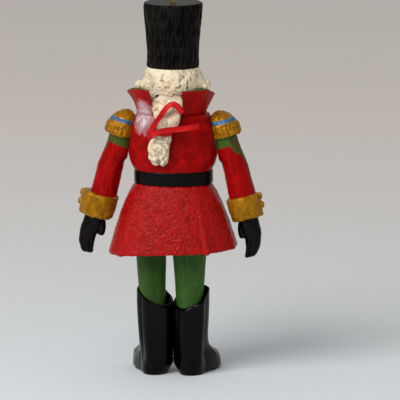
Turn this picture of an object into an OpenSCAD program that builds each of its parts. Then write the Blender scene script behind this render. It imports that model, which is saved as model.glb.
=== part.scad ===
// Nutcracker ornament: a turned and carved figure with pegged arms and a lever jaw.
// Millimetres, +Z up. The figure faces -Y, its left side is +X, and it stands on z = 0.

/* [Boots] */
// Width of a boot across its shaft
boot_w = 13; // [11:0.5:14]
// Gap between the two boots
boot_gap = 0.7; // [0.5:0.1:2]
// Wall of a boot at its open rim
boot_wall = 1.1; // [0.8:0.1:1.3]
// Height of the rim at its low back edge
rim_back_h = 25.5; // [22:0.5:28]
// How much higher the rim stands at the front
rim_rise = 7; // [3:0.5:8]
// Ankle axis to the toe tip
toe_reach = 16; // [13:0.5:17]
// Ankle axis to the back of the heel
heel_reach = 6.6; // [6.2:0.1:7]
// Angle that each foot bends outward in front of the ankle
toe_out = 23; // [8:1:26]
// Height of the arch under the instep
arch_h = 1; // [0.4:0.1:1.6]
// Height where the foot has become the shaft
ankle_h = 14; // [12:0.5:16]
// Depth of the open shaft below the low rim
well_depth = 6.5; // [4:0.5:9]
// How far the ridge down the back of the boot stands out
boot_ridge = 0.5; // [0:0.1:0.8]

/* [Legs] */
// Height of the coat hem above the soles
hem_h = 47; // [42:1:56]
// Gap between the two legs at the hem
leg_split = 1.9; // [1:0.1:4]
// Gap between a leg and its boot at the ankle
ankle_gap = 1; // [0.7:0.1:1.6]
// Diameter of the tenons at both ends of a leg
leg_tenon_d = 4.8; // [3:0.2:6]
// Length of each tenon
leg_tenon_l = 7; // [4:0.5:9]

/* [Coat skirt] */
// Width at the hem
hem_w = 48.4; // [42:0.4:56]
// Front to back at the hem
hem_depth = 34; // [31:0.5:40]
// Height from hem to belt
skirt_h = 25.2; // [21:0.2:30]
// Width of the waist under the belt
waist_w = 27.4; // [25:0.2:29]
// Front to back of the waist under the belt
waist_depth = 20.4; // [19:0.2:22]
// How far the carved folds stand out at the hem
fold_d = 0.5; // [0:0.1:0.8]
// Diameter of the peg that joins torso and skirt
waist_peg_d = 6; // [4:0.5:8]
// How deep that peg goes into each of them
waist_peg_in = 8; // [5:0.5:10]

/* [Belt] */
// Height of the belt
belt_h = 5; // [3:0.2:7]
// Thickness of the belt
belt_t = 0.8; // [0.5:0.1:1.2]
// Width of the buckle
buckle_w = 7; // [5:0.2:9]

/* [Torso] */
// Height from belt to the seat of the head
chest_h = 21.3; // [20:0.1:25]
// Width of the chest under the arms
chest_w = 33.6; // [32:0.2:36]
// Front to back of the chest
chest_depth = 21.6; // [20.6:0.2:22.4]
// Diameter of the flat seat that carries head and collar
neck_d = 22.4; // [21.4:0.2:22.8]
// Lean of the flat sides that the arms turn against
shoulder_tilt = 10; // [6:0.5:13]
// Arm axis below the seat of the head
shoulder_drop = 6; // [5:0.1:7.5]
// Diameter of the coat buttons
coat_button_d = 2.2; // [1.6:0.1:2.6]

/* [Head] */
// Diameter of the head block
head_d = 16.6; // [15.6:0.2:17]
// Height from the seat to the hat
head_h = 17.3; // [16:0.1:20]
// Width of the jaw and its lever
jaw_w = 8; // [6:0.2:8.6]
// Mouth line above the seat
mouth_h = 5.1; // [4.4:0.1:5.6]
// Diameter of the jaw pin
pin_d = 1.6; // [1:0.1:2]
// Jaw pin behind the figure axis
pin_back = 4.5; // [3.9:0.1:4.8]
// Thickness of the hair over the head
hair_t = 2.9; // [2.6:0.1:3.4]
// Diameter of the two pegs that hold the head
neck_peg_d = 2.4; // [2:0.1:2.8]
// How deep those pegs go into head and torso
neck_peg_in = 4; // [3:0.2:4.6]

/* [Hat] */
// Height of the hat
hat_h = 24.2; // [18:0.2:32]
// Diameter at the top
hat_top_d = 22.2; // [20:0.2:26]
// Diameter at the waist
hat_waist_d = 18.9; // [18.4:0.1:20]
// Diameter at the lower edge
hat_base_d = 19.6; // [18.8:0.2:21]
// Diameter of the peg that holds the hat
hat_peg_d = 4; // [3:0.2:4.6]
// How deep that peg goes into head and hat
hat_peg_in = 4; // [3:0.2:5]
// Radius of the hole in the hanging eye
eye_r = 1.5; // [1:0.1:2.5]
// Diameter of the wire of the hanging eye
eye_wire_d = 1.1; // [0.8:0.1:1.5]

/* [Collar] */
// Height of the collar wings
collar_h = 8.8; // [7:0.2:9.4]
// How far the wings flare outward
collar_flare = 4.9; // [4:0.1:5.6]
// Thickness of the wings
collar_t = 1.2; // [0.8:0.1:1.4]
// Width of the split at the back
split_w = 10.8; // [10.6:0.1:12]

/* [Arms] */
// Diameter of a sleeve at the shoulder
sleeve_top_d = 8.8; // [8:0.2:9.4]
// Diameter of a sleeve at the cuff
sleeve_end_d = 10.2; // [9:0.2:11]
// Arm axis to the top of the cuff
sleeve_l = 26.4; // [23:0.2:28]
// Diameter of a cuff
cuff_d = 13; // [12:0.2:14.4]
// Length of a cuff
cuff_l = 9; // [7:0.2:10]
// Length of a hand below its cuff
hand_l = 14.4; // [12:0.2:17]
// Diameter of an epaulette at its fringe
epaulette_d = 12.6; // [11:0.2:13]
// Height of an epaulette
epaulette_h = 9.9; // [8:0.1:10.6]
// Diameter of the cuff studs
stud_d = 2.6; // [1.8:0.1:3]
// Diameter of the shoulder pegs
peg_d = 3.2; // [2.4:0.1:3.6]
// Clear space between a cuff and the skirt
cuff_gap = 0.8; // [0.5:0.1:2]

/* [Ribbon] */
// Width of the ribbon
ribbon_w = 2.1; // [1.6:0.1:2.4]
// Thickness of the ribbon
ribbon_t = 0.4; // [0.3:0.05:0.5]

/* [Fits] */
// Gap left for glue round pegs and between bonded pieces
glue_gap = 0.05; // [0.03:0.01:0.08]
// Radial clearance of a peg or pin that something turns on
run_gap = 0.06; // [0.03:0.01:0.09]
// Side clearance of a moving piece
side_gap = 0.3; // [0.25:0.05:0.4]

/* [Hidden] */
$fn = 96;
big = 200;

// Heights of the seats, from the floor up
waist_z = hem_h + skirt_h;
chest_z = waist_z + belt_h;
neck_z = chest_z + chest_h;
hat_z = neck_z + head_h;
hat_top_z = hat_z + hat_h;

// Boots and legs
leg_x = (boot_w + boot_gap) / 2;
shaft_r = boot_w / 2 - boot_wall;
leg_low_r = shaft_r - ankle_gap;
leg_top_r = leg_x - leg_split / 2;
tenon_r = leg_tenon_d / 2;
well_z = rim_back_h - well_depth;

// Shoulder axis, at the flat side of the torso
shoulder_z = neck_z - shoulder_drop;
shoulder_x = chest_w / 2 - 1.9;
peg_r = peg_d / 2;
peg_in = 6;

// Jaw pin and mouth
head_r = head_d / 2;
pin_r = pin_d / 2;
pin_z = neck_z + 8;
mouth_z = neck_z + mouth_h;
bite_gap = 0.3;
jaw_front = -head_r - 0.9;
throat_y = -2.6;
boss_r = 2.7;
slot_top = pin_z + 3.3;
slot_w = jaw_w + 2 * side_gap;
lip_z = pin_z;
split_x = 0.5;
neck_join = 1.6;
lever_end = head_r;
lever_r = head_r + 1.4 - pin_back;
nose_z = mouth_z + 4.6;
nose_peg_in = 1.4;
neck_peg_x = (head_r + slot_w / 2) / 2 - 0.1;
neck_peg_y = 1.4;

// Back of the collar seat and the place where the ribbon ties the queue
back_y = neck_d / 2;
tie_z = neck_z - 5.6;
tie_rx = 3.1;
tie_ry = 1.75;

// How far the corners of the waist fill out
waist_power = 2.15;

// Skirt outline: width and depth as a share of the way from waist to hem
function flare(t) = pow(max(t, 0), 0.7);
function skirt_rx(z) =
    (waist_w / 2 + 0.2) + (hem_w - waist_w - 0.4) / 2 * flare((waist_z - z) / skirt_h);
function skirt_ry(z) =
    (waist_depth / 2 + 0.2) + (hem_depth - waist_depth - 0.4) / 2 * flare((waist_z - z) / skirt_h);

// Arm: the sleeve leans out from the flat side until the cuff clears the skirt
arm_u = sleeve_top_d / 2 + 0.5;
cuff_low = sleeve_l + cuff_l;
cuff_z = shoulder_z - cuff_low * cos(shoulder_tilt);
cuff_reach = skirt_rx(cuff_z) + cuff_gap - shoulder_x - cuff_low * sin(shoulder_tilt);
cuff_u = max(cuff_d / 2 + cuff_reach / cos(shoulder_tilt), sleeve_end_d / 2 + 0.6);
arm_lean = atan((cuff_u - arm_u) / cuff_low);
wrist_r = 3.1;
pad_r = 0.32 * sleeve_top_d;
pad_l = 0.42 * sleeve_l;
pad_top = 4.6;
sleeve_grow = (sleeve_end_d - sleeve_top_d) / 2 / (sleeve_l + 2.2);

// Points of an oval whose corners fill out as the power grows past 2
function bend(v, p) = sign(v) * pow(abs(v), p);
function oval(cx, cy, z, rx, ry, power, n) = [
    for (i = [0 : n - 1])
        let (a = 360 * i / n)
        [cx + rx * bend(cos(a), 2 / power), cy + ry * bend(sin(a), 2 / power), z]
];

// A smooth path through points, with k steps in each span
function curve_at(p, i, t) =
    let (a = p[max(i - 1, 0)], b = p[i], c = p[i + 1], d = p[min(i + 2, len(p) - 1)])
    b + t / 2 * (c - a) + t * t * (a - 2.5 * b + 2 * c - d / 2) + t * t * t * (1.5 * (b - c) + (d - a) / 2);
function curve(p, k) = concat(
    [for (i = [0 : len(p) - 2]) for (j = [0 : k - 1]) curve_at(p, i, j / k)],
    [p[len(p) - 1]]
);
function unit(v) = v / norm(v);

// One closed skin over rings that all hold the same number of points
module loft(rings) {
    n = len(rings[0]);
    m = len(rings);
    skin = [
        for (i = [0 : m - 2])
            for (j = [0 : n - 1])
                let (a = i * n + j, b = i * n + (j + 1) % n)
                for (f = [[a, b + n, b], [a, a + n, b + n]]) f
    ];
    low = [for (j = [1 : n - 2]) [0, j, j + 1]];
    high = [for (j = [1 : n - 2]) [(m - 1) * n, (m - 1) * n + j + 1, (m - 1) * n + j]];
    polyhedron(points = [for (r = rings) for (p = r) p], faces = concat(skin, low, high));
}

// Left side as drawn, right side mirrored
module sided(side) {
    if (side > 0) children();
    else mirror([1, 0, 0]) children();
}

// Origin on the shoulder axis, x outward along it, z up along the torso's flat side
module at_shoulder(side) {
    sided(side) translate([shoulder_x, 0, shoulder_z]) rotate([0, -shoulder_tilt, 0]) children();
}

// Origin on the sleeve's own axis at shoulder height, the sleeve runs down -z
module at_sleeve(side) {
    at_shoulder(side) translate([arm_u, 0, 0]) rotate([0, -arm_lean, 0]) children();
}

// A domed button on a short shank, standing on z = 0
module button(d, shank) {
    rotate_extrude() polygon([
        [0, -shank], [0.45, -shank], [0.45, 0], [d / 2, 0], [d / 2, d * 0.16],
        [d * 0.42, d * 0.3], [d * 0.26, d * 0.4], [0, d * 0.44]
    ]);
}

// Half space on the torso side of the arm's flat face
module arm_flat(gap) {
    translate([gap - big, -big / 2, -big / 2]) cube(big);
}

// Boots: rings of one foot as height, toe, heel, half width
foot = [
    [0, 0.96, 0.94, 0.77], [0.05 * ankle_h, 1, 1, 0.83], [0.21 * ankle_h, 1, 1, 0.86],
    [0.39 * ankle_h, 0.94, 0.98, 0.86], [0.54 * ankle_h, 0.82, 0.97, 0.86],
    [0.68 * ankle_h, 0.66, 0.95, 0.86], [0.82 * ankle_h, 0.53, 0.94, 0.87],
    [ankle_h, 0.45, 0.94, 0.89], [(ankle_h + rim_back_h) / 2, 0.41, 0.96, 0.95],
    [rim_back_h, 0.405, 0.97, 0.99], [rim_back_h + rim_rise + 3, 0.41, 0.98, 1]
];
function ridge(a) = boot_ridge * max(0, 1 - abs(a - 90) / 27);
function foot_ring(s) =
    let (toe = s[1] * toe_reach, heel = s[2] * heel_reach)
    let (p = oval(0, (heel - toe) / 2, s[0], s[3] * boot_w / 2, (heel + toe) / 2, 2.3, 40))
    let (bent = tan(toe_out) * min(1, (s[1] - 0.4) / 0.5))
    [for (i = [0 : 39]) p[i] + [bent * max(0, -p[i][1]), ridge(9 * i), 0]];
module boot(side) {
    sided(side) translate([leg_x, 0, 0]) difference() {
        loft([for (s = foot) foot_ring(s)]);
        translate([0, 0, rim_back_h + rim_rise / 2]) rotate([0, 0, 40])
            rotate([-atan(rim_rise / boot_w), 0, 0]) translate([-big / 2, -big / 2, 0]) cube(big);
        translate([0, 0, well_z]) cylinder(r = shaft_r, h = big);
        translate([0, 0, well_z - leg_tenon_l - 0.2]) cylinder(r = tenon_r + glue_gap, h = big);
        translate([-boot_w, -toe_reach * 0.34, -1]) cube([3 * boot_w, toe_reach * 0.38, 1 + arch_h]);
    }
}

module leg(side) {
    sided(side) translate([leg_x, 0, 0]) {
        translate([0, 0, well_z - leg_tenon_l]) cylinder(r = tenon_r, h = hem_h - well_z + 2 * leg_tenon_l);
        translate([0, 0, well_z]) cylinder(r1 = leg_low_r, r2 = leg_top_r, h = hem_h - well_z);
    }
}

// Skirt folds as the angle they run at and their half width, in degrees
folds = [[40, 9], [134, 8], [166, 9], [220, 9], [320, 9]];
function fold(a) = fold_d * max([for (f = folds) exp(-pow((a - f[0]) / f[1], 2))]);
function skirt_ring(t) =
    let (z = hem_h + t * skirt_h, tuck = t == 0 ? 0.4 : 0)
    let (p = oval(0, 0, z, skirt_rx(z) - tuck, skirt_ry(z) - tuck, 2.4, 56))
    [for (i = [0 : 55]) p[i] + fold(360 * i / 56) * (1 - t) * unit([p[i][0], p[i][1], 0])];
module skirt() {
    color("#9c1614") difference() {
        loft([for (t = [0, 0.02, 0.1, 0.25, 0.42, 0.6, 0.75, 0.86, 0.94, 1]) skirt_ring(t)]);
        for (s = [-1, 1])
            translate([s * leg_x, 0, hem_h - 1]) cylinder(r = tenon_r + glue_gap, h = leg_tenon_l + 1.2);
        translate([0, 0, waist_z - waist_peg_in - 0.2]) cylinder(d = waist_peg_d + 2 * glue_gap, h = big);
    }
}

module belt() {
    color("#1d1a17") difference() {
        loft([
            for (s = [[0, 0.55], [0.1, 0.8], [0.5, 1], [0.9, 1], [1, 0.75]])
                let (t = belt_t * s[1])
                oval(0, 0, waist_z + s[0] * belt_h, waist_w / 2 + t, waist_depth / 2 + t, waist_power, 56)
        ]);
        loft([
            for (z = [waist_z - 1, chest_z + 1])
                oval(0, 0, z, waist_w / 2 + glue_gap, waist_depth / 2 + glue_gap, waist_power, 56)
        ]);
    }
}

module belt_buckle() {
    color("#c29a45") translate([0, -waist_depth / 2 - belt_t - glue_gap, waist_z + belt_h / 2]) difference() {
        translate([-buckle_w / 2, -0.9, -belt_h / 2 - 0.1]) cube([buckle_w, 0.9, belt_h + 0.2]);
        translate([-buckle_w / 2 + 1, -2, -belt_h / 2 + 0.9]) cube([buckle_w - 2, 4, belt_h - 1.8]);
    }
}

// Torso rings as share of the chest height, half width, half depth, power of the oval
torso_rings = [
    [0, waist_w / 2 + belt_t, waist_depth / 2 + belt_t, waist_power],
    [0.12, chest_w / 2 - 0.4, chest_depth / 2, 2.4],
    [0.26, chest_w / 2, chest_depth / 2, 2.4],
    [0.47, chest_w / 2 - 0.1, chest_depth / 2, 2.4],
    [0.7, chest_w / 2 - 0.6, chest_depth / 2, 2.4],
    [0.86, chest_w / 2 - 2.1, chest_depth / 2 + 0.05, 2.4],
    [0.955, chest_w / 2 - 4, neck_d / 2 - 0.1, 2.4],
    [1, neck_d / 2, neck_d / 2, 2]
];
button_rows = [0.14, 0.3, 0.46];
module torso() {
    color("#9a1212") difference() {
        loft(concat(
            [for (z = [waist_z, chest_z]) oval(0, 0, z, waist_w / 2, waist_depth / 2, waist_power, 56)],
            [for (s = torso_rings) oval(0, 0, chest_z + s[0] * chest_h, s[1], s[2], s[3], 56)]
        ));
        for (side = [-1, 1]) at_shoulder(side) {
            translate([0, -big / 2, -big / 2]) cube(big);
            rotate([0, 90, 0]) translate([0, 0, -peg_in - 0.2]) cylinder(r = peg_r + glue_gap, h = 20);
        }
        translate([0, 0, waist_z - 1]) cylinder(d = waist_peg_d + 2 * glue_gap, h = waist_peg_in + 1.2);
        for (s = [-1, 1])
            translate([s * neck_peg_x, neck_peg_y, neck_z - neck_peg_in - 0.2])
                cylinder(d = neck_peg_d + 2 * glue_gap, h = big);
        translate([0, -1.2, 0]) rotate([90, 0, 0]) linear_extrude(chest_depth) polygon([
            [-2.6, neck_z - 8], [2.6, neck_z - 8],
            [jaw_w / 2 + 1.2, neck_z - 3.5], [jaw_w / 2 + 1.2, neck_z + 5],
            [-jaw_w / 2 - 1.2, neck_z + 5], [-jaw_w / 2 - 1.2, neck_z - 3.5]
        ]);
        for (t = button_rows)
            translate([0, -chest_depth / 2 - 0.1, chest_z + t * chest_h]) rotate([90, 0, 0])
                translate([0, 0, -2.2]) cylinder(r = 0.45 + glue_gap, h = 6);
    }
}

module coat_buttons() {
    color("#c29a45") for (t = button_rows)
        translate([0, -chest_depth / 2 - glue_gap, chest_z + t * chest_h]) rotate([90, 0, 0])
            button(coat_button_d, 2);
}

module waist_peg() {
    color("#c8a878") translate([0, 0, waist_z - waist_peg_in])
        cylinder(d = waist_peg_d, h = 2 * waist_peg_in);
}

module neck_pegs() {
    color("#c8a878") for (s = [-1, 1])
        translate([s * neck_peg_x, neck_peg_y, neck_z - neck_peg_in])
            cylinder(d = neck_peg_d, h = 2 * neck_peg_in);
}

module hat_peg() {
    color("#c8a878") translate([0, -2, hat_z - hat_peg_in])
        cylinder(d = hat_peg_d, h = 2 * hat_peg_in + neck_join);
}

// The slot through the head, seen from the side
head_slot = [
    [-head_d, neck_z - 5], [-head_d, mouth_z], [throat_y - 0.6, mouth_z], [0.9, slot_top], [head_d, slot_top],
    [head_d, neck_z - 5]
];
module head() {
    color("#e3b894") difference() {
        union() {
            translate([0, 0, neck_z]) cylinder(r = head_r, h = head_h);
            translate([0, 0, hat_z]) cylinder(r = head_r - 0.6, h = neck_join);
        }
        translate([-slot_w / 2, 0, 0]) rotate([90, 0, 90]) linear_extrude(slot_w) polygon(head_slot);
        translate([0, pin_back, pin_z]) rotate([0, 90, 0])
            cylinder(r = pin_r + glue_gap, h = 2 * head_d, center = true);
        for (s = [-1, 1])
            translate([s * neck_peg_x, neck_peg_y, neck_z - 1])
                cylinder(d = neck_peg_d + 2 * glue_gap, h = neck_peg_in + 1.2);
        translate([0, -2, hat_z - hat_peg_in - 0.2]) cylinder(d = hat_peg_d + 2 * glue_gap, h = big);
        translate([0, -head_r + nose_peg_in + 0.2, nose_z]) rotate([90, 0, 0])
            cylinder(r = 0.7 + glue_gap, h = head_r);
    }
}

module nose() {
    color("#e0ab86") difference() {
        union() {
            translate([0, -head_r + nose_peg_in, nose_z]) rotate([90, 0, 0])
                cylinder(r = 0.7, h = nose_peg_in + 0.6);
            hull() {
                translate([0, -head_r - 1.1, nose_z - 0.3]) sphere(1.15, $fn = 16);
                translate([0, -head_r - 0.1, nose_z + 2.2]) sphere(0.6, $fn = 16);
            }
        }
        translate([0, 0, nose_z - 1.6]) difference() {
            cylinder(r = head_r + glue_gap, h = 6);
            translate([0, 0, 1.6]) rotate([90, 0, 0]) cylinder(r = 0.7, h = 20);
        }
    }
}

module moustache() {
    color("#efe6d6") difference() {
        for (s = [-1, 1]) hull() {
            rotate([0, 0, s * 6]) translate([0, -head_r - 0.5, mouth_z + 1.9]) sphere(1.1, $fn = 16);
            rotate([0, 0, s * 24]) translate([0, -head_r - 0.3, mouth_z + 1.5]) sphere(1, $fn = 16);
            rotate([0, 0, s * 44]) translate([0, -head_r - 0.4, mouth_z + 2.3]) sphere(0.45, $fn = 16);
        }
        translate([0, 0, mouth_z - 3]) cylinder(r = head_r + glue_gap, h = 10);
    }
}

// Hair rings as height below the hat, extra half width, extra half depth
hair_rings = [
    [12.2, 0.45, 0.52], [10.8, 0.72, 0.9], [8.8, 0.93, 0.9], [5.8, 0.94, 0.98], [2.8, 0.72, 0.76],
    [glue_gap, 0.42, 0.42]
];
lock_r = 1.7;
lock_x = head_r + hair_t + 1.2;
lock_z = neck_z + collar_h + lock_r + 0.3;
module side_lock() {
    hull() for (y = [-1.4, 3.6]) {
        translate([lock_x, y, lock_z]) sphere(lock_r, $fn = 14);
        translate([head_r + 1.2, y, hat_z - 1.5]) sphere(1, $fn = 10);
    }
}
module hair() {
    color("#efe3cf") difference() {
        union() {
            loft([
                for (s = hair_rings)
                    oval(0, 0, hat_z - s[0], head_r + s[1] * hair_t, head_r + s[2] * hair_t, 2.1, 56)
            ]);
            for (s = [-1, 1]) sided(s) side_lock();
        }
        translate([0, 0, neck_z]) cylinder(r = head_r + glue_gap, h = 40);
        translate([-big / 2, -big - 2.6, 0]) cube([big, big, big]);
        translate([split_x - split_w / 2 - 0.1, 0, neck_z]) cube([split_w + 0.2, 40, lip_z - neck_z]);
        translate([split_x, pin_back, pin_z]) rotate([0, 90, 0])
            cylinder(r = lever_r + 1.5 * side_gap, h = split_w + 0.2, center = true);
    }
}

module hat() {
    r1 = hat_base_d / 2;
    r2 = hat_waist_d / 2;
    r3 = hat_top_d / 2;
    color("#191816") difference() {
        translate([0, 0, hat_z]) rotate_extrude() polygon([
            [0, 0], [r1 - 0.5, 0], [r1, 0.5], [r1 - 0.1, 1.4], [(r1 + r2) / 2 - 0.1, 3], [r2, 0.22 * hat_h],
            [r2 + 0.08 * (r3 - r2), 0.36 * hat_h], [r2 + 0.32 * (r3 - r2), 0.55 * hat_h],
            [r2 + 0.68 * (r3 - r2), 0.77 * hat_h], [r3 - 0.15, 0.91 * hat_h], [r3, hat_h - 1.4],
            [r3 - 0.35, hat_h - 0.5], [r3 - 1.1, hat_h], [0, hat_h]
        ]);
        translate([0, 0, hat_z - 1]) cylinder(r = head_r - 0.6 + glue_gap, h = neck_join + 1 + glue_gap);
        translate([0, -2, hat_z]) cylinder(d = hat_peg_d + 2 * glue_gap, h = hat_peg_in + neck_join + 0.2);
        translate([0, 0, hat_top_z - 7.2]) cylinder(r = eye_wire_d / 2 + glue_gap, h = 20);
    }
}

eye_z = hat_top_z + eye_r + eye_wire_d + 0.5;
module hanging_eye() {
    w = eye_wire_d / 2;
    color("#c6a04c") {
        translate([0, 0, eye_z]) rotate([90, 0, 0]) rotate_extrude() polygon([
            [eye_r, -0.6 * w], [eye_r + 0.4 * w, -w], [eye_r + 1.4 * w, -w], [eye_r + 2 * w, -0.4 * w],
            [eye_r + 2 * w, 0.4 * w], [eye_r + 1.4 * w, w], [eye_r + 0.4 * w, w], [eye_r, 0.6 * w]
        ]);
        translate([0, 0, hat_top_z - 7]) cylinder(r = w, h = 7 + 0.5 + w);
    }
}

module collar(side) {
    r = neck_d / 2 - 0.1;
    color("#8c1210") difference() {
        translate([0, 0, neck_z + glue_gap]) rotate([0, 0, side > 0 ? -45 : 90]) rotate_extrude(angle = 135)
            polygon([
                [r - collar_t, 0], [r, 0],
                [r + collar_flare, collar_h], [r + collar_flare - collar_t, collar_h]
            ]);
        translate([split_x - split_w / 2, 0, 0]) cube([split_w, big, big]);
    }
}

// Jaw, lever and tongue in one piece, seen from the side
jaw_side = [
    [jaw_front, neck_z - 0.7], [jaw_front, mouth_z - bite_gap],
    [throat_y, mouth_z - bite_gap], [1.6, pin_z + 1.9],
    [pin_back, pin_z + 1.7], [lever_end, pin_z + 1.7], [lever_end, pin_z - 2.3], [pin_back, pin_z - 2.6],
    [-1, neck_z + 3], [-6, neck_z - 0.3]
];
tongue_side = [
    [lever_end - 0.2, pin_z + 0.7], [lever_end + 0.85, pin_z + 0.7], [lever_end + 0.9, pin_z - 1.9],
    [lever_end + 3.6, neck_z + 2.3], [neck_d / 2 + 2.8, neck_z - 0.5], [neck_d / 2 + 3, neck_z - 2.5],
    [neck_d / 2 + 1.6, neck_z - 2.5], [neck_d / 2 + 1.4, neck_z - 0.5], [lever_end + 2, neck_z + 2.7],
    [lever_end + 0.3, pin_z - 2.9], [lever_end - 0.2, pin_z - 2.1]
];
module side_plate(profile, w) {
    translate([-w / 2, 0, 0]) rotate([90, 0, 90]) linear_extrude(w) polygon(profile);
}
module jaw() {
    color("#e0b48e") difference() {
        union() {
            side_plate(jaw_side, jaw_w);
            side_plate(tongue_side, 3.2);
            translate([0, pin_back, pin_z]) rotate([0, 90, 0]) cylinder(r = boss_r, h = jaw_w, center = true);
        }
        translate([0, pin_back, pin_z]) rotate([0, 90, 0])
            cylinder(r = pin_r + run_gap, h = 2 * jaw_w, center = true);
    }
}

module jaw_pin() {
    l = 2 * sqrt(head_r * head_r - pow(pin_back + pin_r, 2)) - 0.2;
    color("#b9bcc0") translate([0, pin_back, pin_z]) rotate([0, 90, 0])
        cylinder(r = pin_r, h = l, center = true);
}

module beard() {
    color("#efe6d6") difference() {
        loft([
            for (s = [[-4.4, 1.3, 0.9], [-3, 2.5, 1.7], [-0.5, 0.52 * jaw_w, 2.4], [2.5, 0.56 * jaw_w, 2.3],
                [mouth_h - 1.2, 0.5 * jaw_w, 1.5]])
                oval(0, jaw_front, neck_z + s[0], s[1], s[2], 2.2, 24)
        ]);
        translate([-big / 2, jaw_front - glue_gap, neck_z - big / 2]) cube(big);
    }
}

// Queue rings as height, centre x, centre y, half width, half depth
queue_rings = [
    [pin_z + 1.7, 0.4, head_r + 0.7, 3.6, 0.45],
    [pin_z, 0.4, head_r + 0.8, 4.5, 0.6],
    [pin_z - 1.7, 0.4, head_r + 0.8, 4.75, 0.6],
    [pin_z - 2.7, 0.4, head_r + 1.25, 4.9, 1.05],
    [neck_z + 4, 0.4, head_r + 1.7, 4.8, 1.5],
    [neck_z + 2.5, 0.5, head_r + 2.7, 4.8, 1.7],
    [neck_z + 1.1, 0.55, back_y + 1.4, 4.7, 1.7],
    [neck_z - 0.3, 0.65, back_y + 2.35, 4.5, 1.8],
    [neck_z - 3, 1.1, back_y + 2.4, 3.9, 1.9],
    [tie_z + 1.1, 1.75, back_y + 2.5, tie_rx, tie_ry],
    [tie_z - 1.1, 2.35, back_y + 2.5, tie_rx, tie_ry],
    [tie_z - 3, 3.2, back_y + 2.6, 3.5, 2.1],
    [tie_z - 6.5, 3.8, back_y + 2.8, 3.95, 2.3],
    [tie_z - 9.5, 3.85, back_y + 2.8, 3.9, 2.25],
    [tie_z - 11.6, 3.75, back_y + 2.7, 3.1, 1.8],
    [tie_z - 12.6, 3.7, back_y + 2.6, 1.8, 1]
];
module queue() {
    color("#efe3cf") difference() {
        loft([
            for (i = [len(queue_rings) - 1 : -1 : 0])
                let (s = queue_rings[i])
                oval(s[1], s[2], s[0], s[3], s[4], 2.2, 28)
        ]);
        side_plate(tongue_side, 3.2 + 2 * glue_gap);
    }
}

module tie_loft(grow, over) {
    slope = 0.6 / 2.2;
    loft([
        for (h = [-ribbon_w / 2 - over, ribbon_w / 2 + over])
            oval(2.05 - slope * h, back_y + 2.5, tie_z + h, tie_rx + grow, tie_ry + grow, 2.2, 28)
    ]);
}
module ribbon_band() {
    color("#c81f22") difference() {
        tie_loft(glue_gap + ribbon_t, 0);
        tie_loft(glue_gap, 1);
    }
}

knot = [tie_rx + 2.05 + 1.75, back_y + 3.1, tie_z - 1.2];
module ribbon_knot() {
    color("#c81f22") translate(knot) sphere(1.15);
}

// A flattened ribbon loop: out along the front route, round the far fold and back behind it
fold_r = 0.8;
function across(p, i) =
    let (v = p[min(i + 1, len(p) - 1)] - p[max(i - 1, 0)])
    unit([-v[2], 0, v[0]]);
function along(p, i) = unit(p[min(i + 1, len(p) - 1)] - p[max(i - 1, 0)]);
function loop_ring(c, w, n) = [
    for (k = [0 : 7])
        let (a = 22.5 + 45 * k)
        c + w * ribbon_w / 2 * cos(a) / cos(22.5) + n * ribbon_t / 2 * sin(a) / sin(67.5)
];
function loop_rings(p) =
    let (e = len(p) - 1, out = [0, 1, 0], t = along(p, e))
    concat(
        [for (i = [0 : e]) loop_ring(p[i] + fold_r * out, across(p, i), out)],
        [
            for (a = [30 : 30 : 150])
                loop_ring(p[e] + fold_r * (cos(a) * out + sin(a) * t), across(p, e), cos(a) * out + sin(a) * t)
        ],
        [for (i = [e : -1 : 0]) loop_ring(p[i] - fold_r * out, across(p, i), -out)]
    );

// Routes of the two loops from the knot, as offsets from the middle of the band
tie_mid = [0, back_y, tie_z];
loop_route = [
    [6.9, 4.4, 0.6], [5.4, 4.9, 3], [3.2, 4.9, 6.2], [0.9, 4.7, 9.4], [-1.1, 4.4, 10.9], [-3.1, 4, 10.3],
    [-4.7, 3.6, 8.1]
];
tail_route = [
    [5.9, 6.4, -0.4], [3.4, 6.7, 1.2], [0, 6.6, 2.1], [-4.2, 5.7, 2.9], [-8, 4.1, 3.9], [-10.4, 2.6, 4.7]
];
module ribbon(route) {
    color("#c81f22") loft(loop_rings(curve([for (p = route) p + tie_mid], 5)));
}

module sleeve(side) {
    color("#9a1111") at_shoulder(side) difference() {
        union() {
            translate([arm_u, 0, 0]) rotate([0, -arm_lean, 0]) {
                sphere(sleeve_top_d / 2);
                translate([0, 0, -sleeve_l - 2.2])
                    cylinder(r1 = sleeve_end_d / 2, r2 = sleeve_top_d / 2, h = sleeve_l + 2.2);
            }
            translate([pad_r, 0, -pad_l]) cylinder(r = pad_r, h = pad_l - pad_top);
            translate([pad_r, 0, -pad_l]) sphere(pad_r);
        }
        arm_flat(side_gap);
        rotate([0, 90, 0]) cylinder(r = peg_r + run_gap, h = arm_u + 1.2);
    }
}

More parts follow.
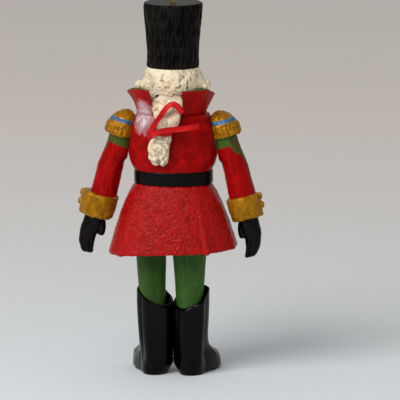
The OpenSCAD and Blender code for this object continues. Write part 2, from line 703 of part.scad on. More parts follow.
// Epaulette rings as height, radius, depth of the fringe grooves
epaulette_rings = [
    [0, 0.95, 0.06], [0.08, 1, 0.06], [0.3, 0.97, 0.05], [0.36, 0.91, 0], [0.42, 0.87, 0], [0.56, 0.83, 0],
    [0.6, 0.79, 0], [0.74, 0.7, 0], [0.87, 0.54, 0], [0.96, 0.34, 0], [1, 0.14, 0]
];
module epaulette(side) {
    color("#a8761c") at_shoulder(side) difference() {
        translate([arm_u + 0.7, 0, -3.3]) rotate([0, -8, 0]) loft([
            for (s = epaulette_rings) [
                for (i = [0 : 71])
                    let (a = 5 * i, r = epaulette_d / 2 * (s[1] - s[2] * (1 - cos(a * 18)) / 2))
                    [r * cos(a), r * sin(a), s[0] * epaulette_h]
            ]
        ]);
        translate([arm_u, 0, 0]) rotate([0, -arm_lean, 0]) {
            sphere(sleeve_top_d / 2 + glue_gap);
            translate([0, 0, -sleeve_l]) cylinder(
                r1 = sleeve_top_d / 2 + sleeve_l * sleeve_grow + glue_gap, r2 = sleeve_top_d / 2 + glue_gap,
                h = sleeve_l
            );
        }
        arm_flat(side_gap);
        rotate([0, 90, 0]) cylinder(r = peg_r + side_gap, h = arm_u);
    }
}

module shoulder_peg(side) {
    color("#c8a878") at_shoulder(side) rotate([0, 90, 0])
        translate([0, 0, -peg_in]) cylinder(r = peg_r, h = peg_in + arm_u + 0.8);
}

stud_rows = [0.17, 0.55];
stud_shank = (cuff_d - sleeve_end_d) / 2 - 0.4;
module cuff(side) {
    r = cuff_d / 2;
    color("#9c6c1c") at_sleeve(side) difference() {
        translate([0, 0, -sleeve_l - cuff_l]) rotate_extrude() polygon([
            [0, 0], [r - 1.1, 0], [r - 0.6, 0.4], [r - 0.2, cuff_l * 0.5],
            [r, cuff_l - 1.2], [r - 0.2, cuff_l - 0.4],
            [r - 0.7, cuff_l], [0, cuff_l]
        ]);
        translate([0, 0, -sleeve_l - 2.2]) cylinder(
            r1 = sleeve_end_d / 2 + glue_gap, r2 = sleeve_end_d / 2 - 6 * sleeve_grow + glue_gap, h = 6
        );
        translate([0, 0, -sleeve_l - cuff_l - 1]) cylinder(r = wrist_r + glue_gap, h = 4.2);
        for (t = stud_rows)
            translate([r - stud_shank - 0.15, 0, -sleeve_l - t * cuff_l]) rotate([0, 90, 0])
                cylinder(r = 0.45 + glue_gap, h = r);
    }
}

module cuff_buttons(side) {
    color("#b5842c") at_sleeve(side) for (t = stud_rows)
        translate([cuff_d / 2 + glue_gap, 0, -sleeve_l - t * cuff_l]) rotate([0, 90, 0])
            button(stud_d, stud_shank);
}

// Hand rings as share of the length below the cuff, centre out, half width, half thickness
hand_rings = [
    [1, -0.6, 1.2, 0.8], [0.96, -0.4, 1.9, 1.3], [0.86, 0.2, 2.5, 1.8],
    [0.7, 0.9, 2.9, 2.2], [0.5, 1, 3.2, 2.5],
    [0.35, 0.5, 3.7, 2.7], [0.2, 0.1, 3.6, 2.8], [0, 0, 3.2, 2.7]
];
module hand(side) {
    low = sleeve_l + cuff_l;
    color("#100e0d") at_sleeve(side) {
        loft([for (s = hand_rings) oval(s[1], 0, -low - glue_gap - s[0] * hand_l, s[2], s[3], 2.3, 24)]);
        translate([0, 0, -low - 0.5]) cylinder(r = wrist_r, h = 3.4);
        hull() {
            translate([-2.4, 0.2, -low - 0.24 * hand_l]) sphere(1.4, $fn = 16);
            translate([-2.7, 0.4, -low - 0.46 * hand_l]) sphere(1.2, $fn = 16);
        }
    }
}

module left_leg() { color("#35532a") leg(1); }
module right_leg() { color("#35532a") leg(-1); }
module left_boot() { color("#121212") boot(1); }
module right_boot() { color("#121212") boot(-1); }
module left_collar() { collar(1); }
module right_collar() { collar(-1); }
module left_sleeve() { sleeve(1); }
module right_sleeve() { sleeve(-1); }
module left_epaulette() { epaulette(1); }
module right_epaulette() { epaulette(-1); }
module left_shoulder_peg() { shoulder_peg(1); }
module right_shoulder_peg() { shoulder_peg(-1); }
module left_cuff() { cuff(1); }
module right_cuff() { cuff(-1); }
module left_cuff_buttons() { cuff_buttons(1); }
module right_cuff_buttons() { cuff_buttons(-1); }
module left_hand() { hand(1); }
module right_hand() { hand(-1); }
module ribbon_loop() { ribbon(loop_route); }
module ribbon_tail() { ribbon(tail_route); }

torso();
skirt();
belt();
belt_buckle();
coat_buttons();
waist_peg();
left_leg();
right_leg();
left_boot();
right_boot();
left_collar();
right_collar();
head();
nose();
moustache();
hair();
neck_pegs();
hat();
hat_peg();
hanging_eye();
jaw_pin();
left_shoulder_peg();
right_shoulder_peg();
jaw();
beard();
queue();
ribbon_band();
ribbon_knot();
ribbon_loop();
ribbon_tail();
left_sleeve();
left_epaulette();
left_cuff();
left_cuff_buttons();
left_hand();
right_sleeve();
right_epaulette();
right_cuff();
right_cuff_buttons();
right_hand();
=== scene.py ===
"""Nutcracker ornament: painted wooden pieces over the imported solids, as surfaces worked out with numpy."""
import math

import bpy
import numpy as np
from bpy.props import FloatProperty, FloatVectorProperty, IntProperty, PointerProperty
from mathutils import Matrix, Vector


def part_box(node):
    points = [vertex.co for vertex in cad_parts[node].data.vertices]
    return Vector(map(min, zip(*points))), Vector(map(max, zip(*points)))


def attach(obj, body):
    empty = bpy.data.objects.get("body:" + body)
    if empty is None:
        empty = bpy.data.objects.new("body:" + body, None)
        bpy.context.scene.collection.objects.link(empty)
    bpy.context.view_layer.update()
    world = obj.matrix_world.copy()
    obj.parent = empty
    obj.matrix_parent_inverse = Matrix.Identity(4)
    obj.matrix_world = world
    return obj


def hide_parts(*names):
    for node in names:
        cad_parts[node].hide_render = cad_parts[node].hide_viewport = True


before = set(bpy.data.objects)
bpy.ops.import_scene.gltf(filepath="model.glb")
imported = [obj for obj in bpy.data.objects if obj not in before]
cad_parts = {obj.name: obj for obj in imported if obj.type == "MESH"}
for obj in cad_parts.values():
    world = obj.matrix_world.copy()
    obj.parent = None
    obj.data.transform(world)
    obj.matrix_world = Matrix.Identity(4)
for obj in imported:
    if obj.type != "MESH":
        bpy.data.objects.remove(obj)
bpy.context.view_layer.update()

bl_info = {
    "name": "Nutcracker ornament",
    "version": (1, 0, 0),
    "blender": (4, 5, 0),
    "location": "View3D > Sidebar > Nutcracker",
    "description": "Builds a painted wooden nutcracker soldier over its packed solids",
    "category": "Add Mesh",
}

MM = 0.001


def reach(node):
    """Lowest and highest corner of a CAD node at rest, in millimetres."""
    return [np.array(corner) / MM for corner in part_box(node)]


# Levels of the figure in mm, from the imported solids
HEM, WAIST = reach("skirt")[0][2], reach("skirt")[1][2]
CHEST, NECK = reach("belt")[1][2], reach("torso")[1][2]
HAT, HAT_TOP = reach("hat")[0][2], reach("hat")[1][2]
# The head: level of the mouth, place of the jaw's pin, the head's radius and half the width of the jaw's slot
MOUTH, PIN_Z, PIN_Y, HEAD_R, SLOT = NECK + 5.1, NECK + 8.0, 4.5, 8.3, 4.3
# The ribbon: the point that its routes start from and the middle of its knot
TIE = np.array([0.0, 11.2, NECK - 5.6])
KNOT = np.array([6.9, 14.3, NECK - 6.8])
# The arms: shoulder axis at the torso's flat side, its tilt, the sleeve's distance from it and its lean
SHOULDER_X, SHOULDER_Z = 14.9, NECK - 6.0
TILT, ARM_OUT, LEAN = math.radians(10), 4.9, math.radians(3.66)
# Lengths of the sleeve above the cuff, the cuff and the hand below it
SLEEVE, CUFF, HAND = 26.4, 9.0, 14.4
# The legs: distance from the middle, and the level of the boots' wells that they stand in
LEG_X, WELL = 6.85, 19.0
SIDES = (("left", 1), ("right", -1))
# Signed distance of a point that a painted mark doesn't reach
UNMARKED = -9.0


# Shapes

def smooth_rows(table, at):
    """Cubic curve through the rows of a table whose first column is the place along it, with the central
    difference of a row's neighbours as its slope."""
    table = np.asarray(table, float)
    x, y = table[:, 0], table[:, 1:]
    slope = np.gradient(y, x, axis=0)
    at = np.asarray(at, float)
    i = np.clip(np.searchsorted(x, at, side="right") - 1, 0, len(x) - 2)
    h = (x[i + 1] - x[i])[..., None]
    t = (at - x[i])[..., None] / h
    return (
        (1 + 2 * t) * (1 - t) ** 2 * y[i] + t * (1 - t) ** 2 * h * slope[i]
        + t * t * (3 - 2 * t) * y[i + 1] + t * t * (t - 1) * h * slope[i + 1]
    )


def straight_rows(table, at):
    """Straight lines through the rows of a table whose first column is the place along it."""
    table = np.asarray(table, float)
    return np.stack([np.interp(at, table[:, 0], table[:, c]) for c in range(1, table.shape[1])], -1)


def step(low, high, x):
    """0 below low, 1 above high and 3t^2 - 2t^3 between them."""
    t = np.clip((x - low) / (high - low), 0, 1)
    return t * t * (3 - 2 * t)


def bell(x, width):
    """The bell curve exp(-(x/width)^2)."""
    return np.exp(-(x / width) ** 2)


def turns(count):
    """Angles once round, counter-clockwise, in radians."""
    return np.linspace(0, 2 * np.pi, count, endpoint=False)


def oval(angle, rx, ry, power=2.0):
    """x and y of an oval whose corners fill out as the power grows: the sine and cosine raised to 2/power."""
    c, s = np.cos(angle), np.sin(angle)
    return rx * np.sign(c) * np.abs(c) ** (2 / power), ry * np.sign(s) * np.abs(s) ** (2 / power)


def grid_of(x, y, z):
    """One grid of points from x, y and z arrays that are broadcast together."""
    return np.stack(np.broadcast_arrays(x, y, z), -1).astype(float)


def lathe(profile, count, rows):
    """A profile of (height, radius) rows turned about z: straight spans cut into rows by length along it."""
    profile = np.asarray(profile, float)
    along = np.concatenate([[0], np.cumsum(np.linalg.norm(np.diff(profile, axis=0), axis=1))])
    at = np.union1d(np.linspace(0, along[-1], rows), along)
    z, r = straight_rows(np.column_stack([along, profile]), at).T
    a = turns(count)
    return grid_of(r[:, None] * np.cos(a), r[:, None] * np.sin(a), z[:, None])


def speckle(i, j, k, seed):
    """A repeatable number from -1 to 1 for each lattice corner: whole coordinates times large primes, mixed
    by exclusive or, cut to 16 bits."""
    n = (i * 73856093) ^ (j * 19349663) ^ (k * 83492791) ^ (seed * 2654435)
    n = (n ^ (n >> 13)) * 1274126177
    return ((n ^ (n >> 16)) & 0xFFFF) / 32767.5 - 1.0


def lumps(points, size, seed=0):
    """Value noise from -1 to 1: the lattice numbers round a point blended by 3t^2 - 2t^3 along each axis,
    with lattice steps of the given size in mm."""
    q = points[..., :3] / np.asarray(size, float)
    cell = np.floor(q).astype(np.int64)
    t = q - cell
    t = t * t * (3 - 2 * t)
    total = 0.0
    for corner in np.ndindex(2, 2, 2):
        weight = np.prod(np.where(corner, t, 1 - t), axis=-1)
        total = total + weight * speckle(*(cell[..., a] + corner[a] for a in range(3)), seed)
    return total


def outward(grid, around=True):
    """Unit normals of a grid: the cross product of the central differences along its columns and its rows."""
    p = grid[..., :3]
    u = np.roll(p, -1, 1) - np.roll(p, 1, 1) if around else np.gradient(p, axis=1)
    n = np.cross(u, np.gradient(p, axis=0))
    return n / np.maximum(np.linalg.norm(n, axis=-1, keepdims=True), 1e-9)


def raised(grid, height, around=True):
    """The grid moved along its normals by a height for each point; the height becomes its next column."""
    moved = grid[..., :3] + outward(grid, around) * height[..., None]
    return np.concatenate([moved, grid[..., 3:], height[..., None]], -1)


def painted(grid, *channels):
    """The grid with more columns, one for each painted channel."""
    return np.concatenate([grid] + [np.broadcast_to(c, grid.shape[:2])[..., None] for c in channels], -1)


def moved_to(grid, origin, x_axis, z_axis):
    """The grid's points placed in a frame with that origin, x axis and z axis."""
    x, z = np.asarray(x_axis, float), np.asarray(z_axis, float)
    x, z = x / np.linalg.norm(x), z / np.linalg.norm(z)
    turn = np.stack([x, np.cross(z, x), z])
    return np.concatenate([grid[..., :3] @ turn + np.asarray(origin, float), grid[..., 3:]], -1)


def leaned(grid, angle, x0, z0):
    """A turn about y that leans a downward piece outward, then a shift: x' = x0 + x cos - z sin,
    z' = z0 + x sin + z cos."""
    x, y, z = np.moveaxis(grid[..., :3], -1, 0)
    c, s = math.cos(angle), math.sin(angle)
    return np.concatenate([grid_of(x0 + x * c - z * s, y, z0 + x * s + z * c), grid[..., 3:]], -1)


def on_sleeve(grid):
    """From the sleeve's own frame to the arm's, whose x runs out along the shoulder peg."""
    return leaned(grid, LEAN, ARM_OUT, 0)


def on_figure(grid, side):
    """From the arm's frame to the figure's, mirrored for the right arm."""
    out = leaned(grid, TILT, SHOULDER_X, SHOULDER_Z)
    out[..., 0] *= side
    return out


def off_flat(grid):
    """The arm's points kept clear of the torso's flat side."""
    clear = 0.3
    grid[..., 0] = np.maximum(grid[..., 0], clear)
    return grid


def skin(grid, around=True, ends="fan", ring=False):
    """Faces over a grid: a quad between each two rows and columns. Columns join up round the grid, rows too
    in a ring, and open ends get a fan to their middle or one plate. A shell whose volume is negative is
    turned out."""
    rows, cols, width = grid.shape
    index = np.arange(rows * cols).reshape(rows, cols)
    points = grid.reshape(-1, width)
    wide = np.hstack([index, index[:, :1]]) if around else index
    wide = np.vstack([wide, wide[:1]]) if ring else wide
    quads = np.stack([wide[:-1, :-1], wide[:-1, 1:], wide[1:, 1:], wide[1:, :-1]], -1).reshape(-1, 4)
    plates = []
    for edge in () if ring or ends is None else (index[0, ::-1], index[-1]):
        if ends == "plate":
            plates.append(edge)
            continue
        hub = np.full(cols, len(points))
        points = np.vstack([points, points[edge].mean(0)])
        quads = np.vstack([quads, np.stack([edge, np.roll(edge, -1), hub, hub], -1)])
    c = points[quads][..., :3] - points[:, :3].mean(0)
    volume = np.sum(np.cross(c[:, 0], c[:, 1]) * c[:, 2]) + np.sum(np.cross(c[:, 0], c[:, 2]) * c[:, 3])
    if volume < 0:
        quads = quads[:, [1, 0, 3, 2]]
        plates = [plate[::-1] for plate in plates]
    return points, quads, plates


def strip(path, across, normal, width, thick, cols=16):
    """A flat band carried along a path: at each point a filled-out oval, its width along across and its
    thickness along normal; two more columns hold the way along it in mm and the place across it, from -1
    to 1."""
    wide, high = oval(turns(cols), 0.5, 0.5, 4.0)
    width, thick = np.broadcast_to(width, len(path)), np.broadcast_to(thick, len(path))
    grid = (
        path[:, None] + across[:, None] * (wide * width[:, None])[..., None]
        + normal[:, None] * (high * thick[:, None])[..., None]
    )
    along = np.concatenate([[0], np.cumsum(np.linalg.norm(np.diff(path, axis=0), axis=1))])
    return painted(grid, along[:, None], 2 * wide[None])


def round_tube(path, radius, cols, side=(0.0, 1.0, 0.0)):
    """A round bar carried along a path: circles in the plane of the side vector and its cross product with
    the path's direction."""
    ahead = np.gradient(path, axis=0)
    ahead = ahead / np.linalg.norm(ahead, axis=1, keepdims=True)
    one = np.asarray(side, float) - ahead * (ahead @ np.asarray(side, float))[:, None]
    one = one / np.linalg.norm(one, axis=1, keepdims=True)
    two = np.cross(ahead, one)
    a = turns(cols)
    r = np.broadcast_to(radius, len(path))[:, None, None]
    return path[:, None] + r * (one[:, None] * np.cos(a)[:, None] + two[:, None] * np.sin(a)[:, None])


def notched(z, rx, ry, power, half, deep, cut, facing, cols, inner=25):
    """Rings round the figure with a notch let in from the front (facing -1) or the back (1). Each ring runs
    from one lip of the notch round to the other, then in along one wall, across and out along the next. Rows
    where cut is false stay whole."""
    columns = (np.broadcast_to(v, len(z)).astype(float)[:, None] for v in (z, rx, ry, power, half, deep))
    z, rx, ry, power, half, deep = columns
    base = facing * np.pi / 2
    open_by = np.arcsin((half / rx) ** (power / 2))
    x, y = oval(base + open_by + np.linspace(0, 1, cols) * 2 * (np.pi - open_by), rx, ry, power)
    s = np.linspace(0, 1, inner + 2)[1:-1]
    whole_x, whole_y = oval(base - open_by + 2 * s * open_by, rx, ry, power)
    t, x0, y0, x1, y1 = 3 * s, x[:, -1:], y[:, -1:], x[:, :1], y[:, :1]
    wall_x = np.where(t < 1, x0, np.where(t < 2, x0 + (t - 1) * (x1 - x0), x1))
    wall_y = np.where(t < 1, y0 + t * (deep - y0), np.where(t < 2, deep, deep + (t - 2) * (y1 - deep)))
    keep = np.asarray(cut)[:, None]
    return grid_of(
        np.hstack([x, np.where(keep, wall_x, whole_x)]), np.hstack([y, np.where(keep, wall_y, whole_y)]), z
    )


def piece(name, body, material, shells, nodes=(), slot=None, channels=("relief",), crease=40):
    """One mesh object from shells, riding on a body; columns after x, y and z become its painted channels,
    and edges sharper than crease degrees stay sharp."""
    starts = np.cumsum([0] + [len(shell[0]) for shell in shells])
    points = np.vstack([shell[0] for shell in shells])
    quads = np.vstack([shell[1] + at for shell, at in zip(shells, starts)])
    faces = [f[:3] if f[2] == f[3] else f for f in quads.tolist()]
    faces += [(plate + at).tolist() for shell, at in zip(shells, starts) for plate in shell[2]]
    mesh = bpy.data.meshes.new(name)
    mesh.from_pydata((points[:, :3] * MM).tolist(), [], faces)
    for column, channel in enumerate(channels, 3):
        layer = mesh.attributes.new(channel, "FLOAT", "POINT")
        layer.data.foreach_set("value", np.ascontiguousarray(points[:, column], np.float32))
    mesh.shade_smooth()
    mesh.set_sharp_from_angle(angle=math.radians(crease))
    mesh.materials.append(material)
    obj = bpy.data.objects.new(name, mesh)
    bpy.context.scene.collection.objects.link(obj)
    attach(obj, body)
    if nodes:
        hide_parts(*nodes)
    return obj


def finish_nodes(material, *nodes):
    """CAD nodes that stay as they are take this material."""
    for name in nodes:
        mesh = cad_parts[name].data
        mesh.materials.clear()
        mesh.materials.append(material)


# Finishes

def linear(code):
    """Linear colour of an sRGB hex value."""
    parts = [int(code[i:i + 2], 16) / 255 for i in (1, 3, 5)]
    return tuple(v / 12.92 if v <= 0.04045 else ((v + 0.055) / 1.055) ** 2.4 for v in parts)


def rgba(colour, gain=1.0):
    """A colour times a gain, with full alpha."""
    return tuple(min(1.0, v * gain) for v in colour) + (1.0,)


def add(tree, kind, inputs=(), out=0, **options):
    """Adds a shader node and gives one of its outputs, or the node itself where out is None. Options are
    its own settings. Inputs are values or the sockets that feed it, in order or by name or number."""
    node = tree.nodes.new("ShaderNode" + kind)
    for name, value in options.items():
        setattr(node, name, value)
    for name, value in inputs.items() if isinstance(inputs, dict) else enumerate(inputs):
        if isinstance(value, bpy.types.NodeSocket):
            tree.links.new(value, node.inputs[name])
        else:
            node.inputs[name].default_value = value
    return node if out is None else node.outputs[out]


def new_material(name):
    """An empty node material and its tree."""
    material = bpy.data.materials.new(name)
    material.use_nodes = True
    material.node_tree.nodes.clear()
    return material, material.node_tree


def patterns(tree, *sizes):
    """A mottled pattern of each size in mm, a number or one for each axis, on Object coordinates."""
    place = add(tree, "TexCoord", out="Object")
    found = []
    for size in sizes:
        scale = [1 / (MM * s) for s in np.broadcast_to(size, 3)]
        at = add(tree, "Mapping", {"Vector": place, "Scale": scale})
        found.append(add(tree, "TexNoise", {"Vector": at, "Scale": 1.0, "Detail": 3.0}))
    return found


def layered(tree, coat, *layers):
    """Colours laid over a first coat. Each layer is a pattern, the two levels of it between which the layer
    fades in, its full strength and its colour."""
    for pattern, low, high, strength, colour in layers:
        share = add(tree, "MapRange", (pattern, low, high, 0.0, strength))
        coat = add(tree, "Mix", {0: share, 6: coat, 7: colour}, 2, data_type="RGBA")
    return coat


def surface(tree, colour, rough, height, depth, **fixed):
    """A principled surface with bump of a depth in mm. Fixed values are named as its sockets, with _ for a
    space."""
    bump = add(tree, "Bump", {"Height": height, "Distance": depth * MM, "Strength": 1.0})
    sockets = {name.replace("_", " "): value for name, value in fixed.items()}
    sockets.update({"Base Color": colour, "Roughness": rough, "Normal": bump})
    add(tree, "OutputMaterial", {"Surface": add(tree, "BsdfPrincipled", sockets)}, None)


def acrylic(name, colour, shade=0.4, glint=1.3, stroke=(0.7, 0.7, 4.0), grit=0.5, depth=0.05, rough=0.42,
            wash=0.6, wash_mm=0.2, streaks=0.18, marks=(), gloss=0.07, **fixed):
    """Artist's acrylic brushed on turned wood. Streaks follow the brush, the coat is thin and pale in
    patches, a dark wash stays in the hollows, and each mark is a second colour with a hand-painted edge.

    shade and glint are gains of the colour in the wash and in thin patches. stroke and grit are the sizes of
    brush marks and grain in mm, and depth is how far they stand up. wash is the strength of the wash, full
    at wash_mm below the surface. streaks is how much the brush marks change the tone. A mark is a channel,
    its colour, the softness of its edge in mm and its strength."""
    material, tree = new_material(name)
    streak, patch, grain = patterns(tree, stroke, 3.0, grit)
    coat = layered(tree, rgba(colour), (patch, 0.5, 0.7, 0.45, rgba(colour, glint)))
    for mark, second, soft, strength in marks:
        inside = add(tree, "Attribute", (), "Fac", attribute_name=mark)
        wobble = add(tree, "Math", (streak, 0.9, inside), operation="MULTIPLY_ADD")
        coat = layered(tree, coat, (wobble, 0.45 - soft, 0.45 + soft, strength, rgba(second)))
    tone = add(tree, "MapRange", (streak, 0.32, 0.68, 1 - streaks, 1 + streaks))
    coat = add(tree, "HueSaturation", {"Color": coat, "Value": tone})
    relief = add(tree, "Attribute", (), "Fac", attribute_name="relief")
    coat = layered(tree, coat, (relief, 0.0, -wash_mm, wash, rgba(colour, shade)))
    height = add(tree, "Math", (streak, 0.6, grain), operation="MULTIPLY_ADD")
    dull = add(tree, "MapRange", (grain, 0.3, 0.7, rough - 0.07, rough + 0.07))
    surface(tree, coat, dull, height, depth, Specular_IOR_Level=gloss, **fixed)
    return material


def gold_paint(name, colour, marks=()):
    """Gold craft paint: metal flakes in a brown binder, bright where the brush left it thick, brown in the
    hollows."""
    return acrylic(
        name, colour, shade=0.35, glint=1.5, stroke=(0.9, 0.9, 2.2), depth=0.16, rough=0.3, wash=0.5,
        wash_mm=0.26, marks=marks, gloss=0.12, Metallic=0.35,
    )


def texture_paste(name, colour, wash, speck):
    """Thick white paste dabbed over the carved hair: matt and gritty, a tan wash in the hollows, and dark
    specks where the wash pooled."""
    material, tree = new_material(name)
    curl, patch, grain = patterns(tree, 0.8, 3.4, 0.35)
    relief = add(tree, "Attribute", (), "Fac", attribute_name="relief")
    low = add(tree, "MapRange", (relief, -0.35, 0.12, 1.0, 0.0))
    deep = add(tree, "Math", (curl, low), operation="MULTIPLY")
    dots = add(tree, "Math", (grain, curl), operation="MULTIPLY")
    coat = layered(
        tree, rgba(colour), (patch, 0.48, 0.72, 0.65, rgba(wash, 1.15)),
        (deep, 0.1, 0.55, 0.85, rgba(wash, 0.55)), (dots, 0.345, 0.4, 0.75, rgba(speck)),
    )
    height = add(tree, "Math", (curl, 1.6, grain), operation="MULTIPLY_ADD")
    surface(tree, coat, add(tree, "MapRange", (grain, 0.3, 0.7, 0.5, 0.66)), height, 0.12)
    return material


def satin(name, colour):
    """Woven satin ribbon: long smooth floats give a soft bright sheen, with ribs of 0.25 mm across the band,
    drawn twice as coarse as real ones so that they show."""
    rib_mm = 0.25
    material, tree = new_material(name)
    along, across = (add(tree, "Attribute", (), "Fac", attribute_name=way) for way in ("along", "across"))
    turn = add(tree, "Math", (along, 2 * math.pi / rib_mm), operation="MULTIPLY")
    rib = add(tree, "Math", (turn,), operation="SINE")
    # The band darkens towards its edges: painted shade where the edges curl away
    edge = add(tree, "Math", (across,), operation="ABSOLUTE")
    (patch,) = patterns(tree, 1.6)
    coat = layered(
        tree, rgba(colour), (patch, 0.4, 0.7, 0.7, rgba(colour, 1.35)),
        (edge, 0.78, 0.98, 0.6, rgba(colour, 0.45)),
    )
    rough = add(tree, "MapRange", (rib, -1.0, 1.0, 0.28, 0.38))
    surface(tree, coat, rough, rib, 0.012, Sheen_Weight=0.03, Sheen_Roughness=0.4, Specular_IOR_Level=0.16)
    return material


def wire(name, colour, rough):
    """Drawn metal wire: bright, with fine scratches along the draw and a duller film in patches."""
    material, tree = new_material(name)
    scratch, film = patterns(tree, (0.12, 0.12, 1.5), 1.2)
    coat = layered(tree, rgba(colour), (film, 0.4, 0.7, 0.6, rgba(colour, 0.6)))
    dull = add(tree, "MapRange", (film, 0.35, 0.7, rough - 0.06, rough + 0.16))
    surface(tree, coat, dull, scratch, 0.006, Metallic=1.0)
    return material


def birch(name, colour):
    """Bare birch dowel: pale close grain in lines along the peg, a little darker in bands."""
    material, tree = new_material(name)
    line, band = patterns(tree, (0.25, 0.25, 5.0), (1.2, 1.2, 12.0))
    coat = layered(
        tree, rgba(colour), (line, 0.35, 0.7, 0.8, rgba(colour, 0.62)),
        (band, 0.45, 0.7, 0.4, rgba(colour, 0.8)),
    )
    surface(tree, coat, add(tree, "MapRange", (line, 0.3, 0.7, 0.5, 0.68)), line, 0.03)
    return material


def matt_card(name, near, far):
    """Pale matt card of the floor: fine fibres, one tint near the figure and a warmer one far away."""
    material, tree = new_material(name)
    (fibre,) = patterns(tree, 0.4)
    away = add(tree, "VectorMath", (add(tree, "TexCoord", out="Object"),), "Value", operation="LENGTH")
    card = layered(tree, rgba(near), (away, 0.05, 0.6, 1.0, rgba(far)))
    surface(tree, card, add(tree, "MapRange", (fibre, 0.3, 0.7, 0.7, 0.8)), fibre, 0.02)
    return material


# Settings

def colour_setting(name, code, text):
    """A colour that a user may change."""
    return FloatVectorProperty(
        name=name, description=text, subtype="COLOR", size=3, min=0, max=1, default=linear(code),
    )


def depth_setting(name, text, default, most):
    """A depth of carved detail that a user may change, given in mm."""
    return FloatProperty(
        name=name, description=text, default=default * MM, min=0, max=most * MM, precision=5, unit="LENGTH",
    )


class NutcrackerPaints(bpy.types.PropertyGroup):
    """Colours of the paints, ribbon and metal."""

    coat: colour_setting("Coat red", "#9f0b08", "Skirt of the coat")
    chest: colour_setting("Chest red", "#980302", "Torso and sleeves")
    collar: colour_setting("Collar red", "#a00504", "Outside of the collar")
    green: colour_setting("Green", "#365a26", "Legs, sleeve yokes and collar lining")
    gold: colour_setting("Gold", "#a06d0c", "Epaulettes, cuffs, studs and buckle")
    stripe: colour_setting("Stripe", "#2e6c98", "Stripe round the epaulettes")
    black: colour_setting("Black", "#030303", "Boots, gloves and belt")
    hat: colour_setting("Hat black", "#151311", "Brushed coat of the hat")
    hair: colour_setting("Hair", "#e3d6bc", "Hair, beard and moustache")
    wash: colour_setting("Hair wash", "#c8a67a", "Wash in the hollows of the hair")
    skin: colour_setting("Skin", "#dba67f", "Head, nose and jaw")
    ribbon: colour_setting("Ribbon", "#bd0a0f", "Satin ribbon of the queue")
    brass: colour_setting("Brass", "#cfa552", "Hanging eye")
    wood: colour_setting("Bare wood", "#d3b184", "Pegs")


class NutcrackerShapes(bpy.types.PropertyGroup):
    """Sizes of the carved detail, in metres."""

    fold: depth_setting("Folds", "Height of the skirt's folds at the hem", 0.5, 1)
    fur: depth_setting("Fur", "Depth of the hat's fur strokes", 0.34, 0.5)
    curl: depth_setting("Curls", "Depth of the hair's curls", 0.42, 0.8)
    dab: depth_setting("Dabs", "Depth of the dabbed red paint", 0.13, 0.3)
    fringe: IntProperty(
        name="Fringe", description="Strands in the fringe of an epaulette", default=18, min=8, max=30,
    )


class NutcrackerStage(bpy.types.PropertyGroup):
    """Camera and light."""

    azimuth: FloatProperty(
        name="Azimuth", description="Camera's angle round the figure", default=math.radians(186),
        subtype="ANGLE",
    )
    elevation: FloatProperty(
        name="Elevation", description="Camera's angle above level", default=math.radians(9.5),
        subtype="ANGLE",
    )
    distance: FloatProperty(
        name="Distance", description="Camera to figure", default=2.6, min=0.2, unit="LENGTH",
    )
    lens: FloatProperty(
        name="Lens", description="Focal length of the camera in mm", default=628, min=20, max=1000,
    )
    key: FloatProperty(
        name="Key light", description="Power of the large soft lamp", default=6.4, min=0, unit="POWER",
    )
    fill: FloatProperty(
        name="Fill", description="Brightness of the light from all round", default=0.42, min=0, max=2,
    )


# Operators

